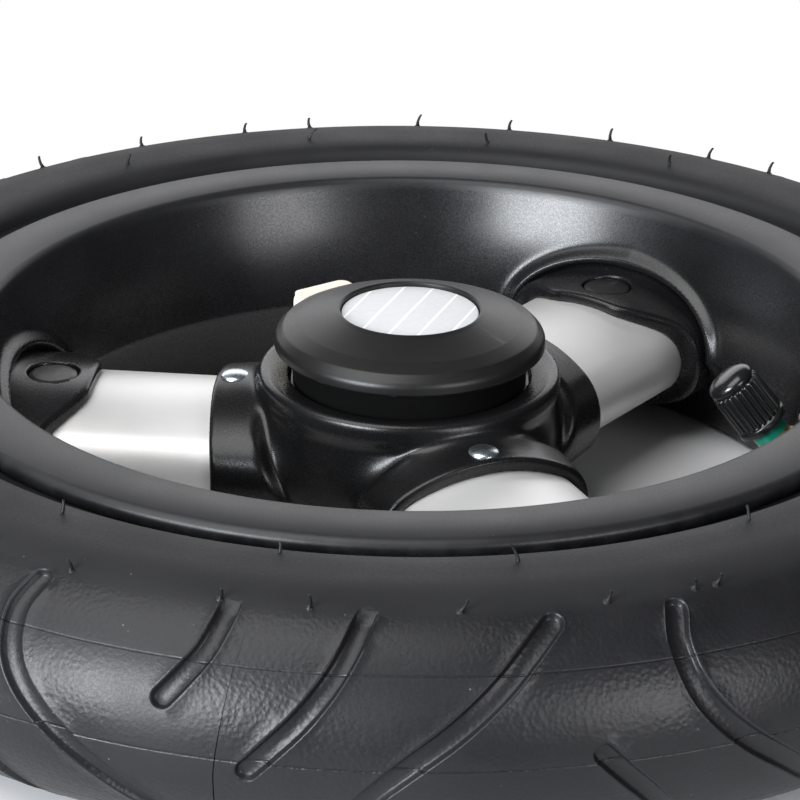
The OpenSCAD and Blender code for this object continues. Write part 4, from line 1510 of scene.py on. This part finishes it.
@dataclass
class Valve:
    """The bent valve: brass stem, coloured band and ribbed cap."""

    corner_r: float = 81.3
    root_r: float = 90.0
    stem_r: float = 4.0
    bend: float = 5.0
    neck: float = 3.4
    cap_foot: float = 5.9
    cap_l: float = 14.6
    cap_r: float = 6.0
    ribs: int = 24
    thread: float = 0.8

    def __post_init__(self) -> None:
        """Takes the stem's direction from the cap's joint."""
        joint = next(j for j in frame["joints"] if j["name"] == "valve_cap_pull")
        self.way = np.array(joint["axis"], float)
        self.way /= np.linalg.norm(self.way)
        flat = -self.way[:2] / np.linalg.norm(self.way[:2])
        self.out = np.array([flat[0], flat[1], 0.0])
        self.side = np.cross(self.out, (0, 0, 1.0))
        self.up = np.cross(self.way, self.side)
        self.corner = self.out * self.corner_r
        self.tip = self.cap_foot + self.cap_l - 3.8

    def placed(self, local: Array) -> Array:
        """Points given along the slanted stem, put in the wheel."""
        return (self.corner + local[..., 0:1] * self.side + local[..., 1:2] * self.up
                + local[..., 2:3] * self.way)

    def lathe(self, outline: Sequence[Sequence[float]], ease: Sequence[float] | float,
              steps: int = 72) -> Array:
        """A closed (radius, distance from the corner) outline turned round the slanted stem."""
        return self.placed(revolved(eased(outline, ease, 5), steps))

    def stem(self) -> Skin:
        """The bent brass tube with its thread under the cap.

        Returns:
            The stem, in place.
        """
        spin = np.linspace(0, 2 * math.pi, 48, endpoint=False)[:, None]
        fold = math.acos(float(-self.way @ self.out))
        reach = min(self.bend * math.tan(fold / 2), 3.2)
        rows = []
        for u in (self.root_r, 88.0, 86.0, self.corner_r + reach):
            rows.append((self.out * u, self.out * -1))
        a, b = self.corner + self.out * reach, self.corner + self.way * reach
        for t in np.linspace(0.1, 0.9, 7):
            spot = (1 - t) ** 2 * a + 2 * t * (1 - t) * self.corner + t * t * b
            way = (1 - t) * -self.out + t * self.way
            rows.append((spot, way / np.linalg.norm(way)))
        grid = []
        for spot, way in rows:
            across = np.cross(self.side, way)
            grid.append(spot + self.stem_r * (np.cos(spin) * self.side + np.sin(spin) * across))
        r = self.stem_r
        profile = [(reach, r), (self.neck, r), (self.neck + 0.05, r - 0.25), (self.cap_foot - 0.4, r - 0.25)]
        turns = int((self.tip - self.cap_foot) / self.thread)
        for k in range(turns):
            z = self.cap_foot - 0.2 + k * self.thread
            profile += [(z, r - 0.5), (z + 0.25, r - 0.16), (z + 0.45, r - 0.16), (z + 0.7, r - 0.5)]
        profile += [(self.tip - 0.2, r - 0.4), (self.tip, r - 0.7), (self.tip, 2.6), (self.tip - 6, 2.6)]
        across = np.cross(self.side, self.way)
        ring = np.cos(spin) * self.side + np.sin(spin) * across
        for z, radius in profile:
            grid.append(self.corner + self.way * z + radius * ring)
        skin = Skin()
        skin.add_grid(np.array(grid))
        return skin

    def cap(self) -> Skin:
        """The cap: a smooth foot, a ribbed body, a stepped rim and a glossy dome.

        Returns:
            The cap, in place.
        """
        spin = np.linspace(0, 2 * math.pi, self.ribs * 10, endpoint=False)
        wave = np.clip(np.cos(spin * self.ribs) * 1.6, -1, 1) * 0.5 + 0.5
        foot, length, r = self.cap_foot, self.cap_l, self.cap_r
        rows = []
        inner = self.stem_r - 0.05
        for z, radius, rib in ((foot + 11.4, 0.05, 0), (foot + 11.4, inner, 0), (foot + 0.3, inner, 0),
                               (foot, inner + 0.3, 0), (foot, r - 0.35, 0), (foot + 0.12, r - 0.06, 0),
                               (foot + 0.4, r, 0), (foot + 1.25, r, 0), (foot + 1.5, r - 0.1, 0),
                               (foot + 1.62, r - 0.5, 0), (foot + 1.9, r - 0.5, 0.3),
                               (foot + 2.3, r - 0.5, 0.55),
                               (foot + 7.0, r - 0.55, 0.55), (foot + length - 4.0, r - 0.62, 0.55),
                               (foot + length - 3.6, r - 0.66, 0.4), (foot + length - 3.45, r - 0.85, 0.15),
                               (foot + length - 3.35, r - 1.1, 0), (foot + length - 3.05, r - 1.1, 0),
                               (foot + length - 2.95, r - 0.75, 0), (foot + length - 2.7, r - 0.62, 0),
                               (foot + length - 2.4, r - 0.66, 0)):
            size = radius + rib * (wave - 0.5)
            rows.append(np.stack([size * np.cos(spin), size * np.sin(spin), np.full(len(spin), z)], -1))
        for a in np.linspace(0.12, math.pi / 2, 12):
            radius = (r - 0.66) * math.cos(a) ** 0.8 + 0.02
            z = foot + length - 2.4 + 2.4 * math.sin(a)
            rows.append(np.stack([radius * np.cos(spin), radius * np.sin(spin), np.full(len(spin), z)], -1))
        skin = Skin()
        skin.add_grid(self.placed(np.array(rows)))
        return skin

    def build(self) -> None:
        """Makes the valve's pieces and its boss on the rim."""
        self.stem().piece("valve_tube", BRASS, Body.WHEEL, "valve_brass", "valve_stem")
        band = Skin()
        r = self.stem_r + 0.06
        band.add_grid(self.lathe([(r - 0.3, self.neck - 0.4), (r, self.neck - 0.4), (r, self.cap_foot - 0.02),
                                  (r - 0.3, self.cap_foot - 0.02)], 0.08), close=True)
        band.piece("valve_colour_band", GREEN, Body.WHEEL, "valve_band", "valve_band")
        self.cap().piece("valve_cap_ribbed", GLOSS_BLACK, Body.VALVE_CAP, "valve_cap", "valve_cap")
        boss = Skin()
        outline = eased([(4.35, 84.6), (6.8, 84.9), (7.6, 88.5), (4.35, 88.5)], [0.3, 0.8, 0, 0])
        ring = revolved(outline, 72)
        lift = np.array([0, 0, 1.0])
        placed = ring[..., 0:1] * self.side + ring[..., 1:2] * lift + ring[..., 2:3] * self.out
        boss.add_grid(placed, close=True)
        boss.piece("valve_boss", RIM_PLASTIC, Body.WHEEL, "rim")


# ---------------------------------------------------------------- carried-over pieces, stage and camera


@dataclass
class Carried:
    """CAD nodes that stay as they are and get a finish."""

    finishes: dict[str, Finish] = field(default_factory=lambda: {
        "inner_tube": TUBE_RUBBER, "rim_tape": TAPE, "axle_spacer": STEEL, "bearing_balls": BALL_STEEL,
        "bearing_cages": CAGE_BRASS, "retaining_ring": SPRING_STEEL, "latch_housing": HOUSING_PLASTIC,
        "housing_screws": SCREW_ZINC, "latch_slider": IVORY, "latch_spring": SPRING_STEEL,
        "valve_core": BRASS,
        "valve_pin": BRASS, "valve_spring": SPRING_STEEL})

    def build(self) -> None:
        """Gives each carried-over node its finish."""
        for node, finish in self.finishes.items():
            mesh = frame["nodes"][node].data
            mesh.materials.clear()
            mesh.materials.append(finish.material())
            LOG.info("%s: carried over", node)


@dataclass
class Light:
    """One soft light on a sphere round the wheel."""

    name: str
    azimuth: float
    elevation: float
    distance: float
    size: tuple[float, float]
    power: float
    colour: tuple[float, float, float] = (1.0, 1.0, 1.0)

    def build(self) -> None:
        """Makes the light, aimed at the hub."""
        data = bpy.data.lights.new(self.name, "AREA")
        data.shape, data.size, data.size_y = "RECTANGLE", *self.size
        data.energy, data.color = self.power, self.colour
        lamp = bpy.data.objects.new(self.name, data)
        a, e = math.radians(self.azimuth), math.radians(self.elevation)
        back = Vector((math.sin(a) * math.cos(e), -math.cos(a) * math.cos(e), math.sin(e)))
        lamp.location = back * self.distance
        lamp.rotation_mode = "QUATERNION"
        lamp.rotation_quaternion = (-back).to_track_quat("-Z", "Y")
        bpy.context.scene.collection.objects.link(lamp)


@dataclass
class Studio:
    """Pale floor, soft lights and the camera."""

    lens: float = 152.84
    tilt: float = 0.4113
    roll: float = 0.0114
    shift: tuple[float, float] = (0.0201, 0.1524)
    distance: float = 6.8275
    unit: float = 0.108
    aim_z: float = 0.025
    floor_r: float = 0.235
    lights: tuple[Light, ...] = (
        Light("back_wall", -177, 22, 1.7, (2.8, 0.95), 16.0, (0.98, 0.98, 1.0)),
        Light("key_left", -41, 13, 1.25, (0.6, 0.62), 30.0, (0.92, 0.955, 1.0)),
        Light("key_right", 37, 13, 1.25, (0.5, 0.62), 7.0, (0.97, 0.97, 1.0)),
        Light("top_left", -55, 62, 1.2, (0.95, 0.95), 11.0),
    )

    def build(self) -> None:
        """Makes the floor, the lights, the surround and the camera."""
        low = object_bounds()[0].z
        mesh = bpy.data.meshes.new("floor")
        turn = np.linspace(0, 2 * math.pi, 256, endpoint=False)
        rings = [(self.floor_r, low - 0.004), (self.floor_r, low - 0.0006), (self.floor_r - 0.0006, low)]
        points = [(r * math.cos(a), r * math.sin(a), z) for r, z in rings for a in turn]
        n = len(turn)
        sides = [(k * n + i, k * n + (i + 1) % n, (k + 1) * n + (i + 1) % n, (k + 1) * n + i)
                 for k in (0, 1) for i in range(n)]
        mesh.from_pydata(points, [], [*sides, tuple(range(2 * n, 3 * n))])
        mesh.materials.append(Finish("floor_pale", (0.78, 0.78, 0.79), roughness=0.6, wear=0.0, grain=900.0,
                                     grain_depth=0.000002, shade=0.01, cloud=0.01, specular=0.2).material())
        floor = bpy.data.objects.new("floor", mesh)
        bpy.context.scene.collection.objects.link(floor)
        floor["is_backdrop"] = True
        for light in self.lights:
            light.build()
        self.surround()
        self.camera()

    def surround(self) -> None:
        """A white surround that lights the wheel less than it shows."""
        world = bpy.data.worlds.new("studio")
        world.use_nodes = True
        tree = world.node_tree
        shown, lit = tree.nodes["Background"], tree.nodes.new("ShaderNodeBackground")
        shown.inputs["Color"].default_value = (1, 1, 1, 1)
        shown.inputs["Strength"].default_value = 1.0
        lit.inputs["Color"].default_value = (0.92, 0.95, 1, 1)
        lit.inputs["Strength"].default_value = 0.07
        path, mix = tree.nodes.new("ShaderNodeLightPath"), tree.nodes.new("ShaderNodeMixShader")
        tree.links.new(path.outputs["Is Camera Ray"], mix.inputs[0])
        tree.links.new(lit.outputs[0], mix.inputs[1])
        tree.links.new(shown.outputs[0], mix.inputs[2])
        tree.links.new(mix.outputs[0], tree.nodes["World Output"].inputs["Surface"])
        bpy.context.scene.world = world
        bpy.context.scene.view_settings.view_transform = "Standard"

    def camera(self) -> None:
        """Puts the camera at the viewing angle."""
        e = self.tilt
        back = Vector((0, -math.cos(e), math.sin(e)))
        right = Vector((1, 0, 0))
        up = back.cross(right)
        c, s = math.cos(self.roll), math.sin(self.roll)
        turned_right, turned_up = right * c + up * s, up * c - right * s
        data = bpy.data.cameras.new("camera")
        data.sensor_width, data.lens = 36.0, self.lens
        camera = bpy.data.objects.new("camera", data)
        aside = turned_right * -self.shift[0] + turned_up * -self.shift[1]
        place = (aside + back * self.distance) * self.unit
        place.z += self.aim_z
        camera.matrix_world = Matrix.Translation(place) @ Matrix(
            ((turned_right.x, turned_up.x, back.x, 0), (turned_right.y, turned_up.y, back.y, 0),
             (turned_right.z, turned_up.z, back.z, 0), (0, 0, 0, 1)))
        data.clip_start, data.clip_end = 0.01, 50.0
        bpy.context.scene.collection.objects.link(camera)
        bpy.context.scene.camera = camera


def main() -> None:
    """Builds the wheel from the outside in, then the stage round it."""
    logging.basicConfig(level=logging.INFO, format="%(message)s")
    rim = Rim()
    Tyre().build()
    rim.build()
    Spokes(rim).build()
    Hub(rim).build()
    Bearings().build()
    Cap().build()
    Valve().build()
    Carried().build()
    Studio().build()


if __name__ == "__main__":
    main()
